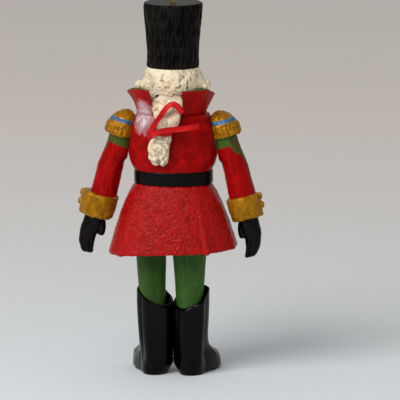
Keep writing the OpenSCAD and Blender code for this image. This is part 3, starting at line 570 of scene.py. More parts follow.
class NUTCRACKER_OT_stage(bpy.types.Operator):
    """Camera at the photograph's angle, pale floor, one large soft lamp and light from all round"""

    bl_idname = "nutcracker.stage"
    bl_label = "Stage"

    # What the camera looks at, the lamp's place, the point it shines on and its diameter, in metres
    AIM = Vector((-9.95, -1.05, 65.4)) * MM
    LAMP, LIT, LAMP_SIZE = Vector((0.33, 0.59, 0.62)), Vector((0, 0, 0.07)), 0.6
    # Rings of the floor's disc in mm, and its spokes
    RINGS, SPOKES = (0.2, 60.0, 400.0, 4000.0), 96

    def execute(self, context):
        scene, stage = context.scene, context.scene.nutcracker_stage
        scene.view_settings.view_transform = "Standard"
        a, e = stage.azimuth, stage.elevation
        back = Vector((math.sin(a) * math.cos(e), -math.cos(a) * math.cos(e), math.sin(e)))
        lens = bpy.data.cameras.new("photo_camera")
        lens.lens, lens.sensor_width, lens.clip_start = stage.lens, 36, 0.01
        scene.camera = self.facing(scene, lens, self.AIM + back * stage.distance, back)
        lamp = bpy.data.lights.new("window", "AREA")
        lamp.shape, lamp.size, lamp.energy, lamp.color = "DISK", self.LAMP_SIZE, stage.key, (1.0, 0.98, 0.96)
        self.facing(scene, lamp, self.LAMP, self.LAMP - self.LIT)
        self.room(scene, stage.fill)
        self.floor(scene)
        return {"FINISHED"}

    def facing(self, scene, data, at, back):
        """A camera or lamp at a point, its back turned the given way."""
        obj = bpy.data.objects.new(data.name, data)
        obj.location = at
        obj.rotation_euler = back.to_track_quat("Z", "Y").to_euler()
        scene.collection.objects.link(obj)
        return obj

    def room(self, scene, fill):
        """A pale room: fill light on the figure, and a pale grey where the camera or a reflection looks past
        it."""
        world = bpy.data.worlds.new("room")
        world.use_nodes = True
        tree = world.node_tree
        tree.nodes.clear()
        rays = add(tree, "LightPath", out=None).outputs
        seen = add(tree, "Math", (rays["Is Camera Ray"], rays["Is Glossy Ray"]), operation="MAXIMUM")
        seen = add(tree, "Math", (seen, rays["Is Transmission Ray"]), operation="MAXIMUM")
        light = add(tree, "Background", {"Color": (1.0, 1.0, 1.0, 1.0), "Strength": fill})
        view = add(tree, "Background", {"Color": rgba(linear("#c6c3bf")), "Strength": 1.0})
        add(tree, "OutputWorld", {"Surface": add(tree, "MixShader", (seen, light, view))}, None)
        scene.world = world

    def floor(self, scene):
        """A large disc of card under the boots: circles of growing radius joined by quads."""
        a, r = turns(self.SPOKES), np.array(self.RINGS)[:, None]
        points, quads, _ = skin(grid_of(r * np.cos(a), r * np.sin(a), 0.0), ends=None)
        mesh = bpy.data.meshes.new("floor")
        faces = quads[:, ::-1].tolist() + [list(range(self.SPOKES))]
        mesh.from_pydata((points * MM).tolist(), [], faces)
        mesh.materials.append(matt_card("matt_card", linear("#dbe2e6"), linear("#f3ebe4")))
        floor = bpy.data.objects.new("floor", mesh)
        scene.collection.objects.link(floor)


class NUTCRACKER_OT_ribbon(bpy.types.Operator):
    """Satin ribbon of the queue: a band round it, a knot, and two flat loops that come back to the knot"""

    bl_idname = "nutcracker.ribbon"
    bl_label = "Ribbon"

    # Routes of the loops as offsets from the tie, in mm, close to those that the solids follow
    UPPER = [
        [6.9, 4.4, 0.6], [5.4, 4.9, 3], [3.2, 4.9, 6.2], [0.9, 4.7, 9.4], [-1.1, 4.4, 10.9], [-3.1, 4, 10.3],
        [-4.7, 3.6, 8.1],
    ]
    LOWER = [
        [5.9, 6.4, -0.4], [3.4, 6.7, 0.9], [0, 6.6, 1.6], [-4.2, 5.7, 1.9], [-8, 4.1, 2.2], [-10.4, 2.6, 2.5],
    ]
    # Radius of the turn at a loop's far end, and the loops' width and thickness, in mm
    TURN, WIDTH, THICK = 0.8, 1.95, 0.34

    def execute(self, context):
        material = satin("satin_ribbon", context.scene.nutcracker_paints.ribbon)
        finish = "red_ribbon", ("along", "across")
        loops = ("ribbon_upper", self.UPPER, "ribbon_loop"), ("ribbon_lower", self.LOWER, "ribbon_tail")
        for name, route, node in loops:
            grid, path = self.loop(np.array(route) + TIE)
            obj = piece(name, "jaw", material, [skin(grid)], [node], *finish)
        piece("ribbon_wrap", "jaw", material, [skin(self.band(), ring=True)], ["ribbon_band"], *finish)
        piece("ribbon_tie", "jaw", material, [skin(self.knot())], ["ribbon_knot"], *finish)
        return {"FINISHED"}

    def loop(self, route):
        """The route out at the front, half a turn at its far end, and the route back behind it; the band
        rolls by a sine of the way along, narrows and closes up towards the knot."""
        route = np.vstack([KNOT + 0.5 * (route[0] - KNOT), route])
        at = np.linspace(0, len(route) - 1, 60)
        p = smooth_rows(np.column_stack([np.arange(len(route)), route]), at)
        ahead = np.gradient(p, axis=0)
        ahead = ahead / np.linalg.norm(ahead, axis=1, keepdims=True)
        side = np.stack([-ahead[:, 2], 0 * at, ahead[:, 0]], -1)
        side = side / np.linalg.norm(side, axis=1, keepdims=True)
        out = np.array([0.0, 1.0, 0.0])
        apart = (0.3 + 0.5 * step(0, 1.6, at))[:, None]
        a = np.radians(np.arange(15, 180, 15))[:, None]
        bend = np.cos(a) * out + np.sin(a) * ahead[-1]
        path = np.vstack([p + apart * out, p[-1] + self.TURN * bend, (p - apart * out)[::-1]])
        normal = np.vstack([np.broadcast_to(out, p.shape), bend, np.broadcast_to(-out, p.shape)])
        across = np.vstack([side, np.broadcast_to(side[-1], bend.shape), side[::-1]])
        narrow = 0.55 + 0.45 * step(0, 1.4, at)
        width = self.WIDTH * np.concatenate([narrow, np.ones(len(a)), narrow[::-1]])
        lean = 0.5 * np.sin(1.5 * at + 0.6) * step(0, 1, at) * step(0, 1, at[-1] - at)
        roll = np.concatenate([lean, np.zeros(len(a)), -0.6 * lean[::-1]])[:, None]
        c, s = np.cos(roll), np.sin(roll)
        across, normal = across * c + normal * s, normal * c - across * s
        grid = strip(path, across, normal, width, self.THICK, 20)
        grid[..., :3] += normal[:, None] * (0.12 * (grid[..., 4:5] ** 2 - 0.5))
        return grid, path

    def band(self):
        """A band round the queue's waist, its ring tilted with the queue: an oval path with upright width."""
        a = turns(72)
        x, y = oval(a, 3.35, 2.0, 2.2)
        path = grid_of(2.05 + x, TIE[1] + 2.5 + y, TIE[2] + 0.25 * np.sin(2 * a + 0.6))
        lean = np.array([-0.26, 0.0, 0.965])
        normal = grid_of(np.cos(a), np.sin(a), 0 * a)
        return strip(path, np.broadcast_to(lean, path.shape), normal, 2.1, 0.4)

    def knot(self):
        """A tight knot: a ball of 1.2 mm with two wraps pressed into it."""
        a, b = turns(40), np.linspace(-1.45, 1.45, 28)[:, None]
        r = 1.12 + 0.1 * np.cos(5 * b + 2 * a) + 0.05 * np.cos(3 * a)
        ball = grid_of(r * np.cos(b) * np.cos(a), r * np.cos(b) * np.sin(a), r * np.sin(b))
        placed = moved_to(ball, KNOT, (0.5, 0.2, 0.8), (0.8, 0.2, -0.5))
        return painted(placed, 2 * b, 0.6 * np.cos(5 * b + 2 * a))


class NUTCRACKER_OT_hat(bpy.types.Operator):
    """Tall fur hat: a turned block with vertical brush strokes cut into thick paint"""

    bl_idname = "nutcracker.hat"
    bl_label = "Hat"

    # Height above the hat's foot and radius
    PROFILE = [
        (0, 0.2), (0, 9.4), (0.4, 9.8), (1.4, 9.75), (3, 9.65), (5.3, 9.62), (8.7, 9.82), (13.3, 10.25),
        (18.6, 10.75), (22, 11.0), (22.9, 11.1), (23.8, 10.9), (24.2, 10.4), (24.2, 0.2),
    ]

    def execute(self, context):
        paints, depth = context.scene.nutcracker_paints, context.scene.nutcracker_shapes.fur / MM
        # The wash takes the fur strokes' grooves nearly to black: painted shade in the grooves between the
        # ridges
        coat = acrylic(
            "brushed_black_acrylic", paints.hat, shade=0.08, glint=1.6, stroke=(0.5, 0.5, 4.0), grit=0.4,
            depth=0.14, rough=0.32, wash=0.97, wash_mm=0.17, streaks=0.3,
            # The top face's mark is a lighter grey: a painted highlight where light falls on the top
            marks=[("painted_top_highlight", linear("#2b2a27"), 0.4, 0.85)], gloss=0.045,
        )
        shells = [skin(self.block(depth))]
        piece("fur_hat", "figure", coat, shells, ["hat"], "black_hat", ("relief", "painted_top_highlight"), 60)
        return {"FINISHED"}

    def block(self, depth):
        """The profile turned, with upright strokes of noise cut into its side and shallow lumps on top."""
        grid = lathe(self.PROFILE, 300, 130)
        grid[..., 2] += HAT
        top = step(HAT_TOP - 0.6, HAT_TOP - 0.1, grid[..., 2])
        fur = 1 - 2.4 * np.abs(lumps(grid, (0.7, 0.7, 5.0), 3)) + 0.7 * lumps(grid, (0.5, 0.5, 2.0), 8)
        flat = lumps(grid, 1.3, 5) * 0.5
        side = (grid[..., 2] > HAT + 0.05) * 1.0
        grid = raised(grid, side * depth * ((1 - top) * (0.55 * fur - 0.45) + top * (0.3 * flat - 0.4)))
        # Last channel: the top face, painted lighter as a highlight from the light above
        return painted(grid, top - 0.45)


class NUTCRACKER_OT_hanging_eye(bpy.types.Operator):
    """Brass screw eye in the hat: one wire that rises from the wood and turns into a ring"""

    bl_idname = "nutcracker.hanging_eye"
    bl_label = "Hanging eye"

    # Height of the ring's centre above the hat, its radius, the wire's radius and how deep the shank goes
    CENTRE, RING_R, WIRE_R, BURIED = 3.1, 2.05, 0.55, 7

    def execute(self, context):
        brass = wire("drawn_brass", context.scene.nutcracker_paints.brass, 0.24)
        piece("screw_eye", "figure", brass, [skin(self.eye())], ["hanging_eye"], "brass", ())
        return {"FINISHED"}

    def eye(self):
        """A round wire straight up to the ring and then along most of a circle."""
        centre = HAT_TOP + self.CENTRE
        z = np.linspace(HAT_TOP - self.BURIED, centre - self.RING_R - self.WIRE_R, 12)
        a = np.radians(np.linspace(-84, 258, 90))
        ring = np.stack([self.RING_R * np.cos(a), 0 * a, centre + self.RING_R * np.sin(a)], -1)
        return round_tube(np.vstack([np.stack([0 * z, 0 * z, z], -1), ring]), self.WIRE_R, 20)


class NUTCRACKER_OT_hair(bpy.types.Operator):
    """White wig with a flicked lock at each side, the queue down the back, the beard and the moustache"""

    bl_idname = "nutcracker.hair"
    bl_label = "Hair"

    # How far the wig comes down below the hat and how thick it is at most, in mm
    LENGTH, FULL = 12.2, 2.9
    # Wig: height below the hat, share of its full thickness, and how far the side locks stand out in mm
    WIG = [
        [0.0, 0.42, 0.2], [2.0, 0.68, 0.3], [4.2, 0.9, 0.7], [5.8, 0.97, 1.9], [7.2, 0.97, 2.2],
        [8.4, 0.95, 1.2], [10.8, 0.85, 0.0], [12.2, 0.5, 0.0],
    ]
    # Queue: height below the pin, centre x and y, half width and half depth
    QUEUE = [
        [-1.7, 0.1, 8.85, 3.6, 0.5], [0, 0.25, 8.9, 4.2, 0.6], [1.15, 0.38, 8.95, 4.55, 0.62],
        [1.8, 0.95, 9.3, 5.5, 0.9], [2.7, 1.1, 9.6, 5.85, 1.2], [4, 1.1, 10.0, 5.75, 1.5],
        [5.5, 1.0, 11.0, 5.6, 1.7], [6.9, 0.85, 12.6, 5.3, 1.7], [8.3, 0.65, 13.55, 4.8, 1.8],
        [11, 1.1, 13.6, 4.0, 1.9], [12.5, 1.75, 13.7, 3.1, 1.75], [14.7, 2.35, 13.7, 3.1, 1.75],
        [16.6, 3.2, 13.8, 3.9, 2.1], [18.4, 3.6, 13.9, 4.05, 2.3], [22.6, 3.9, 14.0, 3.65, 2.25],
        [25.2, 3.8, 13.9, 2.9, 1.8], [26.2, 3.7, 13.8, 1.8, 1.0],
    ]
    # Beard: height above the neck, half width and depth
    BEARD = [[-4.4, 1.1, 0.8], [-3, 2.4, 1.7], [-0.5, 4.1, 2.4], [2.5, 4.4, 2.3], [3.9, 4.0, 1.5]]

    def execute(self, context):
        paints, self.depth = context.scene.nutcracker_paints, context.scene.nutcracker_shapes.curl / MM
        paste = texture_paste("texture_paste", paints.hair, paints.wash, linear("#4a3a28"))
        locks = [self.curl(side) for _, side in SIDES]
        halves = [self.moustache(side) for _, side in SIDES]
        for name, body, grids, node in (
            ("wig", "figure", [self.wig()] + locks, "hair"), ("hair_queue", "jaw", [self.queue()], "queue"),
            ("chin_beard", "jaw", [self.beard()], "beard"), ("whiskers", "figure", halves, "moustache"),
        ):
            piece(name, body, paste, [skin(grid) for grid in grids], [node], "white_hair", crease=55)
        return {"FINISHED"}

    def curly(self, p):
        """Height of the dabbed paste: noise of 2.4 and 1 mm, with pits where a third noise is high."""
        pits = step(0.42, 0.62, lumps(p, 1.3, 33))
        return self.depth * (0.5 * lumps(p, 2.4, 11) + 0.4 * lumps(p, 1.0, 21) - 0.95 * pits - 0.05)

    def wig(self):
        """Sections from temple to temple: up the outside, from the WIG table, and down along the head, with
        a hollow over the queue that follows the circle on which the lever swings."""
        lever, close = 5.65, HEAD_R + 0.05
        a = np.radians(np.linspace(-14, 194, 170))[:, None]
        degrees = np.degrees(a)
        over = step(0.36, 0.46, np.sin(a) - 0.4) * step(50, 58, degrees) * step(-124, -116, -degrees)
        low = HAT - self.LENGTH + (2.95 + 0.2 * np.sin(11 * a)) * over
        s = np.linspace(0, 1, 60)
        z = low + (HAT - 0.05 - low) * s
        share, lock = np.moveaxis(smooth_rows(self.WIG, HAT - z), -1, 0)
        r = HEAD_R + self.FULL * share + lock * (bell(degrees - 6, 26) + bell(degrees - 174, 26))
        r = r - 0.5 * bell(s, 0.06) * (1 - over) - 0.6 * bell(s, 0.14) * over
        r = r - 0.85 * bell(degrees - 4, 40) * bell(HAT - z - 4.6, 1.9)
        r = r - 0.8 * step(14, 0, degrees + 14) - 0.8 * step(180, 194, degrees)
        swing = np.maximum(lever ** 2 - (z - PIN_Z) ** 2, 0) ** 0.5 + PIN_Y
        hollow = np.clip(swing / np.maximum(np.sin(a), 0.3), close, r - 0.4)
        inside = np.where(over > 0.5, hollow, close)
        lift = self.curly(grid_of(r * np.cos(a), r * np.sin(a), z))
        face = grid_of((r + lift) * np.cos(a), (r + lift) * np.sin(a), z)
        back = grid_of(inside * np.cos(a), inside * np.sin(a), z)[:, ::-1]
        return np.concatenate([painted(face, lift), painted(back, -0.3)], 1)

    def curl(self, side):
        """The flicked end of a side lock: a ragged capsule along y whose radius swells in a spiral."""
        half, straight, thick = 3.8, 2.4, 1.4
        y = np.linspace(-half, half, 60)[:, None]
        a = turns(48)
        r = thick * np.sqrt(np.maximum(1 - np.maximum(np.abs(y) - straight, 0) ** 2 / thick ** 2, 0.01))
        spiral = 0.16 * np.sin(a + y * 2.6) * step(0, 0.8, half - np.abs(y))
        x, z = (r + spiral) * np.cos(a), (r + spiral) * np.sin(a)
        grid = grid_of(side * (12.4 + x), 1.2 + y, NECK + 10.6 + z)
        ragged = 0.34 * lumps(grid, 1.2, 6 + side) + 0.16 * lumps(grid, 0.6, 2)
        ragged = ragged + 0.3 * np.sin(side * a + 5.2 * r) * step(2.2, 2.9, np.abs(y)) - 0.08
        return raised(grid, ragged * step(0, 1.2, half - np.abs(y)))

    def queue(self):
        """Ovals down the QUEUE table with strands as long grooves, the root bent round the head. Below the
        tie a spiral wave curls the tuft, and its tip parts into two locks."""
        d = np.linspace(self.QUEUE[-1][0], self.QUEUE[0][0], 130)
        rings = smooth_rows(self.QUEUE, d)
        x0, y0, rx, ry = (rings[:, i:i + 1] for i in range(4))
        x, y = oval(turns(110), rx, ry, 2.2)
        grid = grid_of(x0 + x, y0 + y, (PIN_Z - d)[:, None])
        root = step(1.4, 1.0, d)[:, None]
        grid[..., 1] -= 0.5 * np.maximum(np.abs(grid[..., 0] - 0.2) - 3.3, 0) * root
        tip = step(20.5, 26.2, d)[:, None]
        grid[..., 2] += tip * (2.2 * bell(grid[..., 0] - 3.6, 0.7) + 0.5 * (grid[..., 0] - 3.7) / 3)
        strand = lumps(grid + 0.6 * np.sin(grid[..., 2:3] / 3), (0.95, 0.95, 6.0), 14)
        fine = lumps(grid, (0.5, 0.5, 2.5), 2)
        u, v = grid[..., 0] - 4.6, grid[..., 2] - PIN_Z + 19.4
        swirl = np.sin(2.9 * np.hypot(u, v) - 1.5 * np.arctan2(v, u) + 1.2 * lumps(grid, 1.6, 27))
        end = step(15.2, 16.8, d)[:, None]
        pits = end * step(0.4, 0.65, lumps(grid, 1.1, 33))
        strand = strand * (1 - 0.7 * end) + 0.55 * swirl * end - 0.9 * pits
        rest = step(0.8, 2.4, d)[:, None] * (1 - 0.6 * bell(d - 13.6, 1.2))[:, None]
        return raised(grid, rest * self.depth * (0.75 * strand + 0.3 * fine - 0.2))

    def beard(self):
        """Half ovals from the chin's tip up to the mouth, flat against the jaw, with combed strands."""
        z = np.linspace(self.BEARD[0][0], self.BEARD[-1][0], 50)
        rx, ry = (smooth_rows(self.BEARD, z)[:, i:i + 1] for i in range(2))
        front = np.radians(np.linspace(180, 360, 60))
        x, y = oval(front, rx, ry, 2.2)
        jaw = -HEAD_R - 0.95
        strand = self.depth * 0.6 * lumps(grid_of(x, y, z[:, None]), (0.7, 0.7, 4.0), 19)
        grid = grid_of(x, jaw + y * (1 + strand / 2.4), NECK + z[:, None])
        flat = grid_of(np.linspace(rx[:, 0], -rx[:, 0], 12, axis=1), jaw, NECK + z[:, None])
        return np.concatenate([painted(grid, strand), painted(flat, 0.0)], 1)

    def moustache(self, side):
        """A tapered lock that runs from under the nose round the head and up at its end."""
        cols = 28
        t = np.linspace(0, 1, 50)
        turn = np.radians(3 + 44 * t)
        r = HEAD_R + 0.45 - 0.1 * t
        z = MOUTH + 1.9 - 1.6 * t * (1 - t) * 1.3 + 0.6 * t ** 3
        path = grid_of(side * r * np.sin(turn), -r * np.cos(turn), z)
        thick = 1.05 * (1 - t ** 3) ** 0.6 * (0.8 + 0.2 * step(0, 0.15, t)) + 0.12
        grid = round_tube(path, thick, cols, (0.0, 0.0, 1.0))
        strand = 0.12 * np.sin(7 * turns(cols) + 4 * t[:, None])
        return painted(grid + (grid - path[:, None]) * strand[..., None], strand)


class NUTCRACKER_OT_head(bpy.types.Operator):
    """Turned head with a plain painted face, the nose, and teeth along the jaw"""

    bl_idname = "nutcracker.head"
    bl_label = "Head"

    # Painted areas of the face: colour, softness of the edge in mm and strength
    MARKS = {
        "blush": (linear("#cf6f5a"), 1.4, 0.6), "white": (linear("#efe9de"), 0.07, 1.0),
        "iris": (linear("#3e5f7d"), 0.06, 1.0), "pupil": (linear("#0f0d0c"), 0.05, 1.0),
        "brow": (linear("#5a4632"), 0.08, 0.95),
    }
    # An eye's distance from the face's middle line and its height above the mouth
    EYE_X, EYE_Z = 2.75, 6.6

    def execute(self, context):
        skin_tone = context.scene.nutcracker_paints.skin
        flesh = dict(shade=0.5, glint=1.08, stroke=(1.5, 1.5, 2.5), grit=0.4, depth=0.02, rough=0.38,
                     wash_mm=0.3, streaks=0.05)
        marks = [(name,) + look for name, look in self.MARKS.items()]
        face = acrylic("skin_acrylic", skin_tone, wash=0.5, marks=marks, **flesh)
        channels = ("relief", *self.MARKS)
        blocks = [self.block()] + [self.cheek_block(side) for _, side in SIDES]
        shells = [skin(grid, ends="plate") for grid in blocks]
        piece("turned_head", "figure", face, shells, ["head"], "skin", channels)
        piece("carved_nose", "figure", face, [skin(self.nose())], ["nose"], "skin", channels, 60)
        ivory = acrylic(
            "ivory_acrylic", linear("#efe7d6"), shade=0.35, glint=1.05, grit=0.3, depth=0.02, rough=0.35,
        )
        piece("jaw_teeth", "jaw", ivory, [skin(self.teeth())], (), "skin", crease=50)
        finish_nodes(acrylic("jaw_acrylic", skin_tone, wash=0.0, **flesh), "jaw")
        return {"FINISHED"}

    def block(self):
        """The upper head: a round block from mouth to hat with the lever's slot let in from the back, shallow
        eye sockets, round cheeks, and the face's painted areas as signed distances in mm."""
        slot_top, slot_rows, cols = PIN_Z + 3.3, 60, 420
        z = np.concatenate([np.linspace(MOUTH, slot_top, slot_rows), np.linspace(slot_top, HAT, 45)])
        cut = np.arange(len(z)) < slot_rows
        deep = 0.9 - (slot_top - z) * 0.66
        grid = notched(z, HEAD_R, HEAD_R, 2.0, SLOT, deep, cut, 1, cols)
        u = HEAD_R * np.arctan2(grid[..., 0], -grid[..., 1])
        v = grid[..., 2] - MOUTH
        inner = np.arange(grid.shape[1]) >= cols
        m = np.abs(u)
        eye = np.hypot((m - self.EYE_X) / 1.3, (v - self.EYE_Z - 0.08 * (m - self.EYE_X)) / 0.72)
        socket = -0.32 * np.exp(-(np.hypot((m - self.EYE_X) / 2.1, (v - 6.7) / 1.5)) ** 4)
        ball = 0.3 * bell(eye, 0.95)
        cheek = 0.38 * bell(np.hypot(m - 4.1, (v - 3.3) / 0.9), 1.7)
        ridge = 0.28 * bell(v - 8.5 + 0.09 * (m - 2.6) ** 2, 0.55) * step(0.6, 1.2, m) * step(-5.2, -4.2, -m)
        height = np.where(inner, 0.0, socket + ball + cheek + ridge) * (m < 10)
        gaze = np.hypot(m - 2.7, v - 6.62)
        white = 0.72 * (1 - eye)
        lid = np.minimum(0.2 - np.abs(eye - 1.02) * 0.72, (v - 6.45) * 0.6)
        brow = 0.3 - np.abs(v - 8.45 + 0.12 * (m - 2.5) ** 2) - 0.35 * np.maximum(np.abs(m - 2.6) - 1.3, 0)
        areas = {
            "blush": 1.2 - np.hypot(m - 4.3, v - 3.4), "white": white, "iris": np.minimum(0.6 - gaze, white),
            "pupil": 0.3 - gaze, "brow": np.maximum(brow, lid),
        }
        face = (m < 9) & ~inner
        return painted(raised(grid, height), *(np.where(face, areas[name], UNMARKED) for name in self.MARKS))

    def cheek_block(self, side):
        """The lower head on one side of the jaw: a slice of the round block beyond the slot."""
        z = np.linspace(NECK, MOUTH, 12)[:, None]
        half = math.acos(SLOT / HEAD_R)
        arc = np.linspace(-half, half, 50)
        x = np.concatenate([HEAD_R * np.cos(arc), np.full(14, SLOT)])
        y = np.concatenate([HEAD_R * np.sin(arc), HEAD_R * math.sin(half) * np.linspace(1, -1, 16)[1:-1]])
        return painted(grid_of(side * x, y, z), 0.0, *[UNMARKED] * len(self.MARKS))

    def nose(self):
        """A nose that widens from the brow to its tip: ovals on a line that comes forward, with two wings."""
        t = np.linspace(0, 1, 40)[:, None]
        z = MOUTH + 3.25 + 4.2 * t
        out = 0.25 + 1.75 * step(1.0, 0.12, t) * (0.35 + 0.65 * step(0.0, 0.16, t))
        wide = 0.5 + 0.75 * bell(t - 0.14, 0.22) + 0.1 * bell(t - 0.95, 0.1)
        a = turns(48)
        y = -HEAD_R + 0.15 + out * np.sin(a) * np.where(np.sin(a) < 0, 1.0, 0.3)
        blush = 0.15 * step(0.4, 0.0, t) - 1.0
        return painted(grid_of(wide * np.cos(a), y, z), 0.0, blush, *[UNMARKED] * (len(self.MARKS) - 1))

    def teeth(self):
        """A row of eight teeth along the jaw's upper edge: a band with rounded tops and a groove between
        teeth."""
        pitch = 0.95
        x = np.linspace(-4 * pitch, 4 * pitch, 129)[:, None]
        tooth = (0.5 - 0.5 * np.cos(2 * np.pi * x / pitch)) ** 0.35
        wide, high = oval(turns(24), 0.16, 0.45, 3.0)
        y, z = wide * (0.4 + 0.6 * tooth), high * (0.85 + 0.15 * tooth)
        return painted(grid_of(x, -HEAD_R - 0.93 + y, MOUTH - 0.8 + z), 0.25 * (tooth - 1))


# A painted highlight: the pale patch of glare behind the left shoulder, its mark, middle and reach
PAINTED_GLARE = ("painted_glare", linear("#cabcc1"), 0.9, 0.95)
GLARE_AT, GLARE_REACH = np.array([11.3, 10.0, NECK - 0.5]), np.array([4.2, 6.0, 5.2])


def painted_glare(grid):
    """Signed distance in mm into the patch of painted glare, an ellipsoid with a ragged edge."""
    away = (grid[..., :3] - GLARE_AT) / GLARE_REACH
    return 2.3 * (1 - np.linalg.norm(away, axis=-1)) + 0.5 * lumps(grid, 1.2, 9)


class NUTCRACKER_OT_collar(bpy.types.Operator):
    """Standing collar in two wings, split at the back, red with a green lining that shows above the edge"""

    bl_idname = "nutcracker.collar"
    bl_label = "Collar"

    # Section of a wing, as distance out and height: up the outside, over the edges, down the lining
    SECTION = [
        [0.0, 0.0], [1.25, 2.25], [2.45, 4.4], [3.7, 6.6], [4.75, 8.45], [4.8, 8.75], [4.45, 8.85],
        [4.2, 8.85], [4.1, 9.3], [3.85, 9.4], [3.6, 9.2], [2.4, 6.6], [1.2, 4.4], [0.05, 2.2], [-1.15, 0.02],
    ]
    # Radius of the wings' foot, their height and the height of the red edge
    FOOT_R, TALL, EDGE = 11.1, 9, 8.85

    def execute(self, context):
        paints = context.scene.nutcracker_paints
        # The last mark is a pale patch of painted glare on the wing behind the left shoulder
        cloth = acrylic(
            "collar_acrylic", paints.collar, glint=1.35, stroke=(0.6, 0.6, 4.0), grit=0.45, depth=0.07,
            rough=0.4, wash=0.5, streaks=0.22, marks=[("lining", paints.green, 0.25, 1.0), PAINTED_GLARE],
        )
        channels = ("relief", "lining", "painted_glare")
        for (name, side), split in zip(SIDES, (5.95, 4.95)):
            shells = [skin(self.wing(side, split))]
            piece(name + "_wing", "figure", cloth, shells, [name + "_collar"], "red_coat", channels, 50)
        return {"FINISHED"}

    def wing(self, side, split):
        """Sections from the front round to the split: up the flared outside, over the red edge, up to the
        lining's edge and down inside. The left split side leans outward with height, and the edge falls to
        the front."""
        flare, foot, lean = (1.6, 2.3, 0.19) if side > 0 else (-0.5, 1.3, 0.0)
        at = np.linspace(0, len(self.SECTION) - 1, 90)
        out, up = straight_rows(np.column_stack([np.arange(len(self.SECTION)), self.SECTION]), at).T
        s = np.linspace(0, 1, 90)[:, None]
        ends = np.sin(np.pi * s) ** 0.6
        up = np.where(up > self.EDGE, self.EDGE + (up - self.EDGE) * ends, up)
        share = up / self.TALL
        swell = (flare * share ** 2 + foot * np.maximum(1 - share, 0) ** 1.5) * bell(s - 0.38, 0.3)
        r = self.FOOT_R + out + swell
        stop = np.arccos(np.clip((split + lean * up) / r, -1, 1))
        a = -np.pi / 4 + s ** 0.9 * (stop + np.pi / 4)
        up = up * (1.11 - 0.28 * step(36, -12, np.degrees(a)) - 0.2 * step(2, -34, np.degrees(a)))
        lift = 0.16 * lumps(grid_of(6 * a, 0 * a, up), (0.9, 1.0, 6.0), 31 + side) - 0.05
        dip = 0.35 * np.sin(3.3 * s + 0.4) * (up / self.TALL)
        z = NECK + 0.05 + up - dip * (up > 8) * 0.6
        grid = grid_of(side * (r + lift) * np.cos(a), (r + lift) * np.sin(a), z)
        lining = np.where(at > 6.9, 0.35, -0.6) - 0.4 * (at > 14.5)
        return painted(grid, lift, lining, painted_glare(grid))


def dome(width):
    """A domed button on z = 0: half an oval profile turned about z, with a flat rim and a short shank."""
    rim, shank, shank_r = width / 2, 0.6, 0.4
    t = np.linspace(0, 1, 14) * np.pi / 2
    rise = np.stack([width * (0.16 + 0.28 * np.sin(t)), rim * np.cos(t) + 0.01], -1)
    foot = [[-shank, 0.02], [-shank, shank_r], [-0.02, shank_r], [0, rim]]
    grid = lathe(np.vstack([foot, rise]), 32, 20)
    return painted(grid, 0.12 * lumps(grid, 0.8, 3) - 0.02)


class NUTCRACKER_OT_torso(bpy.types.Operator):
    """Coat body with a notch under the chin, flat sides at the shoulders, and its buttons"""

    bl_idname = "nutcracker.torso"
    bl_label = "Torso"

    # Height above the neck, half width, half depth, power of the oval
    RINGS = [
        [-26.2, 13.65, 10.15, 2.15], [-21.7, 13.65, 10.15, 2.15], [-21.3, 14.5, 11.0, 2.15],
        [-18.74, 15.8, 10.8, 2.4], [-15.76, 16.5, 10.8, 2.4], [-11.3, 16.7, 10.8, 2.4],
        [-6.4, 16.2, 10.8, 2.4], [-3.0, 14.75, 10.85, 2.3], [-0.96, 13.9, 11.1, 2.15], [0.0, 13.3, 11.2, 2.0],
    ]
    # Where the notch starts, as a height above the neck, and the columns of a ring round the outside
    NOTCH, COLUMNS = -8, 240
    # Width of a button, its distance in front of the middle and the buttons' places up the chest
    BUTTON, BUTTON_Y, BUTTON_SHARES = 2.2, -10.85, (0.14, 0.3, 0.46)

    def execute(self, context):
        paints, dab = context.scene.nutcracker_paints, context.scene.nutcracker_shapes.dab / MM
        # The mark is a pale patch of painted glare on the shoulder behind the left collar wing
        red = acrylic(
            "chest_acrylic", paints.chest, glint=1.35, stroke=(0.9, 0.9, 4.0), grit=0.6, depth=0.1,
            rough=0.34, wash_mm=0.16, streaks=0.15, marks=[PAINTED_GLARE],
        )
        shells = [skin(self.body(dab), ends="plate")]
        piece("coat_body", "figure", red, shells, ["torso"], "red_coat", ("relief", "painted_glare"), 45)
        gold = gold_paint("gold_craft_paint", paints.gold)
        places = [(0, self.BUTTON_Y, CHEST + t * (NECK - CHEST)) for t in self.BUTTON_SHARES]
        shells = [skin(moved_to(dome(self.BUTTON), at, (1, 0, 0), (0, -1, 0))) for at in places]
        piece("front_buttons", "figure", gold, shells, ["coat_buttons"], "gold_trim", crease=60)
        return {"FINISHED"}

    def body(self, dab):
        """Ovals up the RINGS table, straight under the belt and smooth above it, the notch let in from the
        front under the neck, and the sides clipped by the leaning flats that the arms turn against."""
        low, high = np.linspace(self.RINGS[0][0], self.NOTCH, 80), np.linspace(self.NOTCH, 0, 40)
        h = np.concatenate([low, high])
        cut = np.arange(len(h)) >= len(low)
        chest = self.RINGS[2][0]
        under, over = straight_rows(self.RINGS, h), smooth_rows(self.RINGS[2:], np.maximum(h, chest))
        rx, ry, power = np.where((h < chest + 0.05)[:, None], under, over).T
        half = np.interp(h, [self.NOTCH, -3.5], [2.6, 5.2])
        grid = notched(NECK + h, rx, ry, power, half, -1.2, cut, -1, self.COLUMNS)
        outer = np.arange(grid.shape[1]) < self.COLUMNS
        dabs = lumps(grid, 2.4, 17) + 0.6 * lumps(grid, 1.1, 5) - 0.4
        lift = dab * dabs * np.where(outer | ~cut[:, None], 1, 0)
        seam = -0.3 * bell(grid[..., 0], 0.28) * (grid[..., 1] < -5) * (h < self.NOTCH)[:, None]
        grid = raised(grid, lift + seam)
        limit = SHOULDER_X - (grid[..., 2] - SHOULDER_Z) * math.tan(TILT)
        grid[..., 0] = np.clip(grid[..., 0], -limit, limit)
        return painted(grid, painted_glare(grid))


